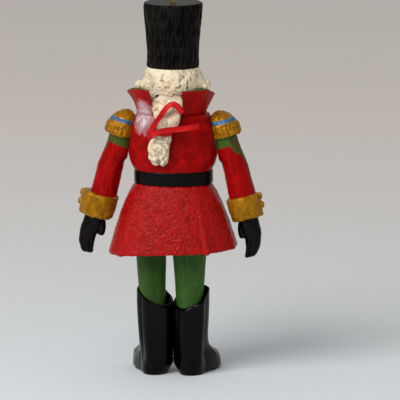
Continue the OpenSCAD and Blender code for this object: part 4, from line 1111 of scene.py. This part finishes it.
class NUTCRACKER_OT_belt(bpy.types.Operator):
    """Black belt round the waist and its gold buckle"""

    bl_idname = "nutcracker.belt"
    bl_label = "Belt"

    # Half width and depth of the waist, how far the belt stands off it and half the belt's thickness
    WAIST_RX, WAIST_RY, OFF, HALF = 13.9, 10.2, 0.4, 0.42
    # Half width and height of the buckle's frame, and its distance in front of the middle
    BUCKLE_RX, BUCKLE_RZ, BUCKLE_Y = 2.98, 2.08, -11.5

    def execute(self, context):
        paints = context.scene.nutcracker_paints
        black = acrylic(
            "belt_acrylic", paints.black, glint=2.2, stroke=(4.0, 4.0, 0.6), depth=0.08, rough=0.26, wash=0.4,
            streaks=0.25, gloss=0.1,
        )
        gold = gold_paint("gold_craft_paint", paints.gold)
        band, buckle = (skin(grid, ring=True) for grid in (self.band(), self.buckle()))
        piece("waist_belt", "figure", black, [band], ["belt"], "black_belt", crease=50)
        piece("buckle", "figure", gold, [buckle], ["belt_buckle"], "gold_trim")
        return {"FINISHED"}

    def band(self):
        """A band round the waist: at each angle a flat section with rounded edges, a little uneven in
        height."""
        a = turns(220)[:, None]
        wide, high = oval(turns(28), self.HALF, (CHEST - WAIST) / 2, 5.0)
        x, y = oval(a, self.WAIST_RX + self.OFF + wide, self.WAIST_RY + self.OFF + wide, 2.15)
        grid = grid_of(x - 0.2, y, (WAIST + CHEST) / 2 + high)
        rough = lumps(grid, (3.0, 3.0, 1.5), 12)
        grid[..., 2] += 0.12 * rough * (np.abs(high) > 1.5)
        return painted(grid, 0.1 * rough)

    def buckle(self):
        """A square frame: a bar of rounded section carried round a filled-out oval in front of the belt."""
        x, z = oval(turns(120), self.BUCKLE_RX, self.BUCKLE_RZ, 9.0)
        path = grid_of(x, self.BUCKLE_Y, (WAIST + CHEST) / 2 + z)
        out = np.gradient(np.vstack([path[-2:], path, path[:2]]), axis=0)[2:-2]
        side = np.stack([-out[:, 2], 0 * x, out[:, 0]], -1)
        side = side / np.linalg.norm(side, axis=1, keepdims=True)
        grid = strip(path, side, np.broadcast_to([0.0, 1.0, 0.0], path.shape), 1.0, 0.9, 18)[..., :3]
        return painted(grid, 0.12 * lumps(grid, 0.9, 2))


class NUTCRACKER_OT_skirt(bpy.types.Operator):
    """Flared coat skirt with carved folds and a slightly uneven hem"""

    bl_idname = "nutcracker.skirt"
    bl_label = "Skirt"

    # Folds: angle, half width in degrees, share of the fold height
    FOLDS = [
        (44, 6, 1.25), (58, 4, 0.4), (123, 2.6, 1.6), (166, 6, 0.8), (204, 6, 0.7), (226, 5, 0.6),
        (314, 5, 0.6), (338, 6, 0.7),
    ]
    # Half width and depth at the waist, and how much each grows to the hem
    TOP_RX, TOP_RY, FLARE_X, FLARE_Y = 13.9, 10.4, 10.2, 6.5
    # Rings under the hem and round its edge, as shares of the hem's width
    UNDER, ROUNDED = [0.05, 0.4, 0.7, 0.9, 0.975], [0.988, 0.995, 0.999]

    def execute(self, context):
        paints, shapes = context.scene.nutcracker_paints, context.scene.nutcracker_shapes
        red = acrylic(
            "skirt_acrylic", paints.coat, shade=0.35, glint=1.25, stroke=(1.2, 1.2, 1.4), grit=1.0,
            depth=0.55, rough=0.21, wash=0.4, wash_mm=0.16, streaks=0.17, gloss=0.12,
        )
        shells = [skin(self.flare(shapes.fold / MM, shapes.dab / MM))]
        piece("coat_skirt", "figure", red, shells, ["skirt"], "red_coat", crease=50)
        return {"FINISHED"}

    def flare(self, fold, dab):
        """Ovals that widen by the way down to the power 0.7, folds as bell curves of the angle that grow to
        the hem, and a rounded lower edge cut a little lower on the figure's left."""
        rows, low = 90, HEM + 0.12
        down = np.concatenate([np.ones(len(self.UNDER)), np.linspace(1, 0, rows)])
        tuck = np.concatenate([self.UNDER, self.ROUNDED, np.ones(rows - len(self.ROUNDED))])
        a = turns(300)
        degrees = np.degrees(a)
        folds = sum(share * bell(degrees - at, wide) for at, wide, share in self.FOLDS)
        seam = 0.5 * bell(degrees - 270, 2.0)
        rx, ry = self.TOP_RX + self.FLARE_X * down ** 0.7, self.TOP_RY + self.FLARE_Y * down ** 0.7
        x, y = oval(a, (rx * tuck)[:, None], (ry * tuck)[:, None], 2.4)
        grid = grid_of(x, y, (low + (WAIST - low) * (1 - down))[:, None])
        hem = 0.18 * np.sin(3 * a + 1) * (down ** 4)[:, None] + 0.055 * x * (down ** 1.5)[:, None]
        grid[..., 2] -= hem * (tuck > 0.3)[:, None]
        outside = (tuck > 0.98)[:, None]
        lift = fold * (folds - seam) * (down ** 1.2)[:, None] * outside
        dabs = dab * (0.6 * lumps(grid, 2.6, 7) + 0.9 * lumps(grid, 1.15, 4) - 0.35) * outside
        grid = raised(grid, lift + dabs)
        grid[..., 3] = 0.5 * lift + dabs - 0.1 * seam
        return grid


class NUTCRACKER_OT_sleeves(bpy.types.Operator):
    """Red sleeves with a green yoke that runs down in a tongue on the outer side"""

    bl_idname = "nutcracker.sleeves"
    bl_label = "Sleeves"

    # Height along the sleeve and half angle of the green tongue, in degrees
    TONGUE = [
        [-24.0, -8.0], [-23.0, 0.0], [-21.4, 6.0], [-19.5, 17.0], [-16.1, 31.0], [-12.9, 43.0], [-11.2, 62.0],
        [-9.5, 100.0], [0.0, 140.0],
    ]
    # Radius at the shoulder and inside the cuff, and how far the sleeve runs into the cuff
    SHOULDER_R, WRIST_R, INTO_CUFF = 4.4, 5.1, 2.2

    def execute(self, context):
        paints, dab = context.scene.nutcracker_paints, context.scene.nutcracker_shapes.dab / MM
        cloth = acrylic(
            "sleeve_acrylic", paints.chest, shade=0.35, glint=1.5, stroke=(0.9, 0.9, 4.5), grit=0.6,
            depth=0.09, rough=0.36, wash_mm=0.16, streaks=0.16, marks=[("yoke", paints.green, 0.2, 0.97)],
        )
        for (name, side), turn in zip(SIDES, (-66, -27)):
            arm, shells = name + "_arm", [skin(self.arm(side, turn, dab))]
            piece(arm, arm, cloth, shells, [name + "_sleeve"], "red_coat", ("relief", "yoke"), 50)
        return {"FINISHED"}

    def arm(self, side, turn, dab):
        """A ball at the shoulder that runs on as a cone into the cuff; the inner side swells to the torso's
        flat down to the armpit, and the outer side draws in under the epaulette."""
        low = -SLEEVE - self.INTO_CUFF
        cone, ball = np.linspace(low, 0, 90), np.linspace(0.03, 1.5, 24)
        z = np.concatenate([cone, self.SHOULDER_R * np.sin(ball)])
        taper = self.WRIST_R + (self.SHOULDER_R - self.WRIST_R) * (cone - low) / -low
        r = np.concatenate([taper, self.SHOULDER_R * np.cos(ball)])
        a = turns(120)
        pad = np.maximum(-np.cos(a), 0) ** 3 * (step(-13.5, -10.5, z) * step(2.0, 4.0, -z))[:, None]
        full = r[:, None] + pad - 1.15 * np.maximum(np.cos(a), 0) * step(-17, -6, z)[:, None]
        grid = grid_of(full * np.cos(a), full * np.sin(a), z[:, None])
        away = np.abs((np.degrees(a) - turn + 180) % 360 - 180)
        tongue = (np.interp(z, *np.transpose(self.TONGUE))[:, None] - away) * np.radians(1) * r[:, None]
        yoke = np.maximum(z[:, None] + 6.9 + 0.35 * np.cos(2 * a + 1), tongue)
        lift = dab * (lumps(grid, (1.6, 1.6, 4.0), 15 + side) + 0.6 * lumps(grid, 1.0, 6) - 0.4)
        grid = painted(raised(grid, lift), yoke)
        return on_figure(off_flat(on_sleeve(grid)), side)


class NUTCRACKER_OT_epaulettes(bpy.types.Operator):
    """Gold domes on the shoulders with a blue stripe and a fringe of thick strands"""

    bl_idname = "nutcracker.epaulettes"
    bl_label = "Epaulettes"

    # Height share, radius share, depth of the fringe
    RINGS = [
        [0.0, 0.93, 1.0], [0.03, 0.97, 1.0], [0.1, 1.0, 1.0], [0.32, 0.985, 0.9], [0.45, 0.93, 0.5],
        [0.505, 0.87, 0.0], [0.54, 0.85, 0.0], [0.62, 0.82, 0.0], [0.655, 0.785, 0.0], [0.69, 0.765, 0.0],
        [0.79, 0.66, 0.0], [0.89, 0.49, 0.0], [0.965, 0.3, 0.0], [1.0, 0.06, 0.0],
    ]
    # Height and radius of a dome, its lean, and its foot's place out from the shoulder and down
    TALL, RADIUS, DOME_LEAN, OUT, FOOT_Z = 9.9, 5.95, math.radians(5), ARM_OUT - 0.15, -3.3

    def execute(self, context):
        paints, strands = context.scene.nutcracker_paints, context.scene.nutcracker_shapes.fringe
        gold = gold_paint("gold_and_blue_craft_paint", paints.gold, [("stripe", paints.stripe, 0.16, 0.95)])
        for name, side in SIDES:
            piece(name + "_shoulder_board", name + "_arm", gold, [skin(self.board(side, strands))],
                  [name + "_epaulette"], "gold_paint", ("relief", "stripe"), 55)
        return {"FINISHED"}

    def board(self, side, strands):
        """Circles up the RINGS table; the fringe swells between grooves by the power 0.6 of a half cosine,
        and its strands end at uneven lengths."""
        t = np.linspace(0, 1, 110)
        r, fringe = straight_rows(self.RINGS, t).T
        r = np.convolve(np.pad(r, 2, "edge"), np.ones(5) / 5, "valid")
        a = turns(216)
        swell = np.abs(np.cos((a + 0.07 * np.sin(4 * a + side)) * strands / 2)) ** 0.6
        groove = -0.3 * fringe[:, None] * (1 - swell)
        strand = (a * strands / (2 * np.pi) + 0.5).astype(int)
        ends = 0.5 * speckle(strand, 3, 5, 20 + side) * (1 - step(0.0, 0.3, t))[:, None]
        radius = self.RADIUS * r[:, None] + groove
        grid = grid_of(radius * np.cos(a), radius * np.sin(a), self.TALL * t[:, None] + 0.4 * ends)
        lift = 0.2 * (lumps(grid, 1.3, 8 + side) + 0.6 * lumps(grid, 0.7, 3)) - 0.08
        grid = raised(grid, lift)
        grid[..., 3] += 0.8 * groove
        stripe = self.TALL * np.minimum(t - 0.52, 0.66 - t)
        grid = painted(grid, stripe[:, None])
        grid[..., 0] -= step(0.35, 0.95, t)[:, None]
        return on_figure(off_flat(leaned(grid, self.DOME_LEAN, self.OUT, self.FOOT_Z)), side)


class NUTCRACKER_OT_cuffs(bpy.types.Operator):
    """Wide gold cuffs with two studs on the outer side of each"""

    bl_idname = "nutcracker.cuffs"
    bl_label = "Cuffs"

    # Height above the cuff's lower edge and radius
    PROFILE = [
        (0, 0.1), (0, 5.4), (0.15, 5.75), (0.5, 6.0), (2.5, 6.12), (4.5, 6.3), (7.6, 6.48), (8.3, 6.42),
        (8.75, 6.1), (9.0, 5.7), (8.95, 4.6), (8.8, 0.1),
    ]
    # Width of a stud and the studs' places down the cuff, as shares of its length
    STUD, STUD_SHARES = 2.6, (0.17, 0.55)

    def execute(self, context):
        gold = gold_paint("gold_craft_paint", context.scene.nutcracker_paints.gold)
        for name, side in SIDES:
            arm, finish = name + "_arm", "gold_paint"
            piece(name + "_gauntlet", arm, gold, [skin(self.cuff(side))], [name + "_cuff"], finish, crease=50)
            studs = [self.stud(side, share) for share in self.STUD_SHARES]
            piece(name + "_studs", arm, gold, studs, [name + "_cuff_buttons"], finish, crease=60)
        return {"FINISHED"}

    def cuff(self, side):
        """A turned profile with dabs of thick paint and an edge that dips a little round the arm. The left
        one is larger and sits further out."""
        size, out = (1.1, 1.1) if side > 0 else (1.0, 0.0)
        grid = lathe(self.PROFILE, 150, 90)
        grid[..., :2] *= size
        a, r = np.arctan2(grid[..., 1], grid[..., 0]), np.hypot(grid[..., 0], grid[..., 1])
        grid[..., 2] += -SLEEVE - CUFF + 0.18 * np.sin(2 * a + side) * step(2.0, 6.0, r)
        grid[..., 0] += out
        lift = 0.2 * (lumps(grid, (1.9, 1.9, 2.6), 40 + side) + 0.5 * lumps(grid, 0.9, 7)) - 0.1
        return on_figure(on_sleeve(raised(grid, lift)), side)

    def stud(self, side, share):
        """A dome on the cuff's outer side, its axis out along the sleeve's x."""
        at = (7.65 if side > 0 else 6.05, 0, -SLEEVE - share * CUFF)
        return skin(on_figure(on_sleeve(moved_to(dome(self.STUD), at, (0, 0, -1), (1, 0, 0))), side))


class NUTCRACKER_OT_gloves(bpy.types.Operator):
    """Black gloves: a mitten with shallow grooves between the fingers and a thumb towards the body"""

    bl_idname = "nutcracker.gloves"
    bl_label = "Gloves"

    # Share of the length below the cuff, centre out, half width, half thickness
    RINGS = [
        [-0.06, 0, 3.6, 2.6], [0.0, 0, 3.7, 2.7], [0.2, 0.1, 3.8, 2.8], [0.35, 0.5, 3.7, 2.7],
        [0.5, 1, 3.2, 2.5], [0.7, 0.9, 2.9, 2.2], [0.86, 0.3, 2.65, 1.8], [0.96, -0.2, 2.3, 1.35],
        [1.0, -0.3, 1.6, 0.75],
    ]
    # Places of the grooves between the fingers, as shares of the half width
    GROOVES = (-0.42, 0.05, 0.5)

    def execute(self, context):
        black = acrylic(
            "glove_acrylic", context.scene.nutcracker_paints.black, glint=2.0, stroke=(0.6, 0.6, 3.0),
            rough=0.2, wash=0.4, streaks=0.25, gloss=0.08, Coat_Weight=0.1, Coat_Roughness=0.08,
        )
        for name, side in SIDES:
            shells = [skin(self.palm(side)), skin(self.thumb(side))]
            piece(name + "_glove", name + "_arm", black, shells, [name + "_hand"], "black_gloves", crease=55)
        return {"FINISHED"}

    def palm(self, side):
        """Ovals down the RINGS table; three grooves run up from the fingertips, on the back and on the palm.
        The left hand sits further out, and the right one curves in."""
        s = np.linspace(1.0, -0.06, 80)
        x0, rx, ry = (smooth_rows(self.RINGS, s)[:, i:i + 1] for i in range(3))
        a = turns(96)
        x, y = oval(a, rx, ry, 2.3)
        hang = np.full_like(s, 1.2) if side > 0 else -s - 1.3 * s * np.abs(s)
        grid = grid_of(x0 + hang[:, None] + x, y, (-SLEEVE - CUFF - s * HAND)[:, None])
        grooves = sum(bell(x / rx - at, 0.09) for at in self.GROOVES)
        grooves = grooves * np.abs(np.sin(a)) * step(0.36, 0.6, s)[:, None]
        grid = raised(grid, -0.36 * grooves + 0.16 * lumps(grid, 2.2, 13))
        return on_figure(on_sleeve(grid), side)

    def thumb(self, side):
        """A tapered round finger along the inner edge of the palm."""
        t = np.linspace(0, 1, 40)
        x = (-1.45 if side > 0 else -2.45) - 0.9 * np.sin(2.4 * t)
        path = grid_of(x, 0.2 + 0.3 * t, -SLEEVE - CUFF - HAND * (0.1 + 0.38 * t))
        r = 1.7 * np.sqrt(np.maximum(1 - np.maximum((t - 0.78) / 0.22, 0) ** 2, 0.004)) * (1 - 0.12 * t)
        grid = round_tube(path, r, 32)
        return on_figure(on_sleeve(painted(grid, 0.05 * lumps(grid, 1.2, 3))), side)


class NUTCRACKER_OT_legs(bpy.types.Operator):
    """Green turned legs that widen towards the hem"""

    bl_idname = "nutcracker.legs"
    bl_label = "Legs"

    # Radius at the foot, and the legs' shift to the figure's left
    FOOT_R, SHIFT = 4.4, 0.6

    def execute(self, context):
        green = acrylic(
            "leg_acrylic", context.scene.nutcracker_paints.green, glint=1.35, stroke=(0.9, 0.9, 6.0),
            depth=0.06, rough=0.36, wash=0.5, wash_mm=0.12, streaks=0.14,
            # The left leg's dark streak is painted shade
            marks=[("painted_leg_shade", linear("#26300a"), 0.9, 0.7)],
        )
        channels = ("relief", "painted_leg_shade")
        for name, side in SIDES:
            shells = [skin(self.leg(side))]
            piece(name + "_trouser", "figure", green, shells, [name + "_leg"], "green_legs", channels, 50)
        return {"FINISHED"}

    def leg(self, side):
        """A cone from the boot's well to the hem, leaning to the figure's left. The right one is fuller, and
        the left one has a dull dark-green streak of painted shade down the back."""
        top_r, lean, painted_leg_shade = (5.8, 0.9, 0.7) if side > 0 else (6.5, 0.1, -0.5)
        low, high = WELL + 0.05, HEM + 0.1
        grid = lathe([(low, 0.1), (low, self.FOOT_R), (high, top_r), (high, 0.1)], 100, 90)
        # Distance into the dark streak of painted shade, which is strongest on the left leg
        streak = painted_leg_shade - np.abs(grid[..., 0] + 0.8) / 2.6
        grid[..., 0] += side * LEG_X + self.SHIFT + lean * (grid[..., 2] - low) / (HEM - low)
        grid = raised(grid, 0.07 * lumps(grid, (1.5, 1.5, 6.0), 22 + side) - 0.02)
        return painted(grid, streak)


class NUTCRACKER_OT_boots(bpy.types.Operator):
    """Gloss black boots with a scooped open rim and a ridge down the back"""

    bl_idname = "nutcracker.boots"
    bl_label = "Boots"

    # Height, toe and heel reach, half width
    FOOT = [
        [0.0, 15.36, 6.2, 5.0], [0.7, 16.0, 6.6, 5.4], [2.94, 16.0, 6.6, 5.59], [5.46, 15.04, 6.47, 5.59],
        [7.56, 13.12, 6.4, 5.59], [9.52, 10.56, 6.27, 5.59], [11.48, 8.48, 6.2, 5.66], [14.0, 7.2, 6.2, 5.79],
        [19.75, 6.56, 6.34, 6.18], [25.5, 6.48, 6.4, 6.44], [35.5, 6.56, 6.47, 6.5],
    ]
    # Heights of the ankle and of the rim's middle, the well's radius and the reach of the inner side
    ANKLE, RIM, WELL_R, INNER = 14, 28, 5.4, 6.86
    # Columns round a boot, power of its oval, and slope by which the toes turn out
    COLUMNS, POWER, TOE_BEND = 160, 2.3, math.tan(math.radians(23))
    # The lip: share of the way in from the wall to the well, and drop below the rim
    LIP = ((0.25, 0.06), (0.6, 0.0), (0.9, 0.1), (1.0, 0.45))

    def execute(self, context):
        gloss = acrylic(
            "gloss_enamel", context.scene.nutcracker_paints.black, shade=0.5, glint=1.6,
            stroke=(1.5, 1.5, 5.0), grit=0.8, depth=0.035, rough=0.2, wash=0.2, wash_mm=0.3, streaks=0.15,
            Coat_Weight=0.08, Coat_Roughness=0.08,
        )
        for (name, side), ridge in zip(SIDES, (72, 108)):
            shells = [skin(self.boot(side, ridge))]
            piece(name + "_shoe", "figure", gloss, shells, [name + "_boot"], "black_boots", crease=22)
        return {"FINISHED"}

    def rim(self, x, y, side):
        """Height of the scooped rim: a plane that falls towards the back and the inner side, higher on the
        left boot."""
        level, inward, backward = (29.8, 0.45, 0.41) if side > 0 else (29.0, 0.35, 0.55)
        return level + inward * x - backward * y

    def ring(self, z, ridge):
        """x and y of the foot's outline at each height, in the leg's frame: a filled-out oval from toe to
        heel, carved in flats that meet at edges 60 degrees apart, full on the inner side, and bent outward in
        front of the ankle."""
        a = np.broadcast_to(turns(self.COLUMNS), z.shape)
        toe, heel, half = np.moveaxis(smooth_rows(self.FOOT, z), -1, 0)
        long = np.abs(toe - heel) / (toe + heel)
        full = self.INNER / (1 - long ** self.POWER) ** (1 / self.POWER)
        inner = half + (full - half) * step(0.6, 4.4, z)
        x, y = oval(a, np.where(np.cos(a) < 0, inner, half), (heel + toe) / 2, self.POWER)
        flats = np.abs((np.degrees(a) - ridge) % 60 / 30 - 1) - 0.65
        grow = 1 + 0.125 * flats * step(2, 8, z) * step(-0.9, -0.5, np.cos(a))
        y = y * grow + (heel - toe) / 2
        bend = self.TOE_BEND * np.clip((toe / 16 - 0.4) / 0.5, 0, 1)
        return x * grow + bend * np.maximum(0, -y), y

    def boot(self, side, ridge):
        """From the sole's middle to the welt, up the outside to the rim, over the lip and down the well."""
        flat = np.zeros((1, self.COLUMNS))
        x0, y0 = self.ring(flat, ridge)
        sole = np.array([0.03, 0.35, 0.7, 0.94])[:, None]
        arch = step(-6.0, -5.2, sole * y0) * step(-1.2, -0.4, -sole * y0)
        bottom = grid_of(sole * x0, sole * y0, arch)
        foot = np.concatenate([[0.02, 0.15, 0.4], np.linspace(0.8, self.ANKLE, 60)])[:, None] + flat
        shaft = np.linspace(0, 1, 50)[1:, None]
        top = self.rim(*self.ring(flat + self.RIM, ridge), side)
        heights = np.vstack([foot, self.ANKLE + shaft * (top - 0.3 - self.ANKLE)])
        lift_sole = arch[-1:] * step(1.6, 0.0, heights)
        wall = grid_of(*self.ring(heights, ridge), np.maximum(heights, lift_sole))
        c, s = np.cos(turns(self.COLUMNS)), np.sin(turns(self.COLUMNS))
        lip = []
        for share, drop in self.LIP:
            x = (1 - share) * wall[-1, :, 0] + share * self.WELL_R * c
            y = (1 - share) * wall[-1, :, 1] + share * self.WELL_R * s
            lip.append(grid_of(x, y, self.rim(x, y, side) - drop))
        depth = np.linspace(0, 1, 12)[1:, None]
        well = grid_of(self.WELL_R * c, self.WELL_R * s, (1 - depth) * lip[-1][:, 2] + depth * WELL)
        middle = np.array([[3.0], [0.2]])
        grid = np.concatenate([bottom, wall, np.array(lip), well, grid_of(middle * c, middle * s, WELL)])
        dents = 0.07 * lumps(grid, (3.0, 3.0, 6.0), 30 + side) * step(0.5, 3.0, grid[..., 2])
        grid = raised(grid, dents)
        grid[..., 0] = side * (grid[..., 0] + LEG_X)
        return grid


class NUTCRACKER_OT_joinery(bpy.types.Operator):
    """Finish of the pegs and the jaw pin, which keep the solids' shape"""

    bl_idname = "nutcracker.joinery"
    bl_label = "Pegs and pin"

    PEGS = ("waist_peg", "neck_pegs", "hat_peg", "left_shoulder_peg", "right_shoulder_peg")

    def execute(self, context):
        finish_nodes(birch("birch_dowel", context.scene.nutcracker_paints.wood), *self.PEGS)
        finish_nodes(wire("drawn_steel", linear("#b9bcc0"), 0.3), "jaw_pin")
        return {"FINISHED"}


# Operators in the order that they run, and the last part of their names
BUILDERS = (
    NUTCRACKER_OT_stage, NUTCRACKER_OT_ribbon, NUTCRACKER_OT_hat, NUTCRACKER_OT_hanging_eye,
    NUTCRACKER_OT_hair, NUTCRACKER_OT_head, NUTCRACKER_OT_collar, NUTCRACKER_OT_torso, NUTCRACKER_OT_belt,
    NUTCRACKER_OT_skirt, NUTCRACKER_OT_sleeves, NUTCRACKER_OT_epaulettes, NUTCRACKER_OT_cuffs,
    NUTCRACKER_OT_gloves, NUTCRACKER_OT_legs, NUTCRACKER_OT_boots, NUTCRACKER_OT_joinery,
)
BUILD_ORDER = [builder.bl_idname.split(".")[1] for builder in BUILDERS]
# Groups of settings by their names on the scene
GROUPS = {
    "nutcracker_paints": NutcrackerPaints, "nutcracker_shapes": NutcrackerShapes,
    "nutcracker_stage": NutcrackerStage,
}


class NUTCRACKER_PT_pieces(bpy.types.Panel):
    """Lists the settings and the pieces in the order that they are built"""

    bl_idname = "NUTCRACKER_PT_pieces"
    bl_label = "Nutcracker"
    bl_space_type = "VIEW_3D"
    bl_region_type = "UI"
    bl_category = "Nutcracker"

    def draw(self, context):
        for group in GROUPS:
            settings = getattr(context.scene, group)
            box = self.layout.box()
            for name in settings.__annotations__:
                box.prop(settings, name)
        for name in BUILD_ORDER:
            self.layout.operator("nutcracker." + name)


CLASSES = (*GROUPS.values(), *BUILDERS, NUTCRACKER_PT_pieces)


def register():
    """Registers the classes and hangs the settings on the scene."""
    for cls in CLASSES:
        bpy.utils.register_class(cls)
    for name, group in GROUPS.items():
        setattr(bpy.types.Scene, name, PointerProperty(type=group))


def unregister():
    """Takes the settings off the scene and the classes out again."""
    for name in GROUPS:
        delattr(bpy.types.Scene, name)
    for cls in reversed(CLASSES):
        bpy.utils.unregister_class(cls)


def main():
    register()
    for name in BUILD_ORDER:
        getattr(bpy.ops.nutcracker, name)()


if __name__ == "__main__":
    main()
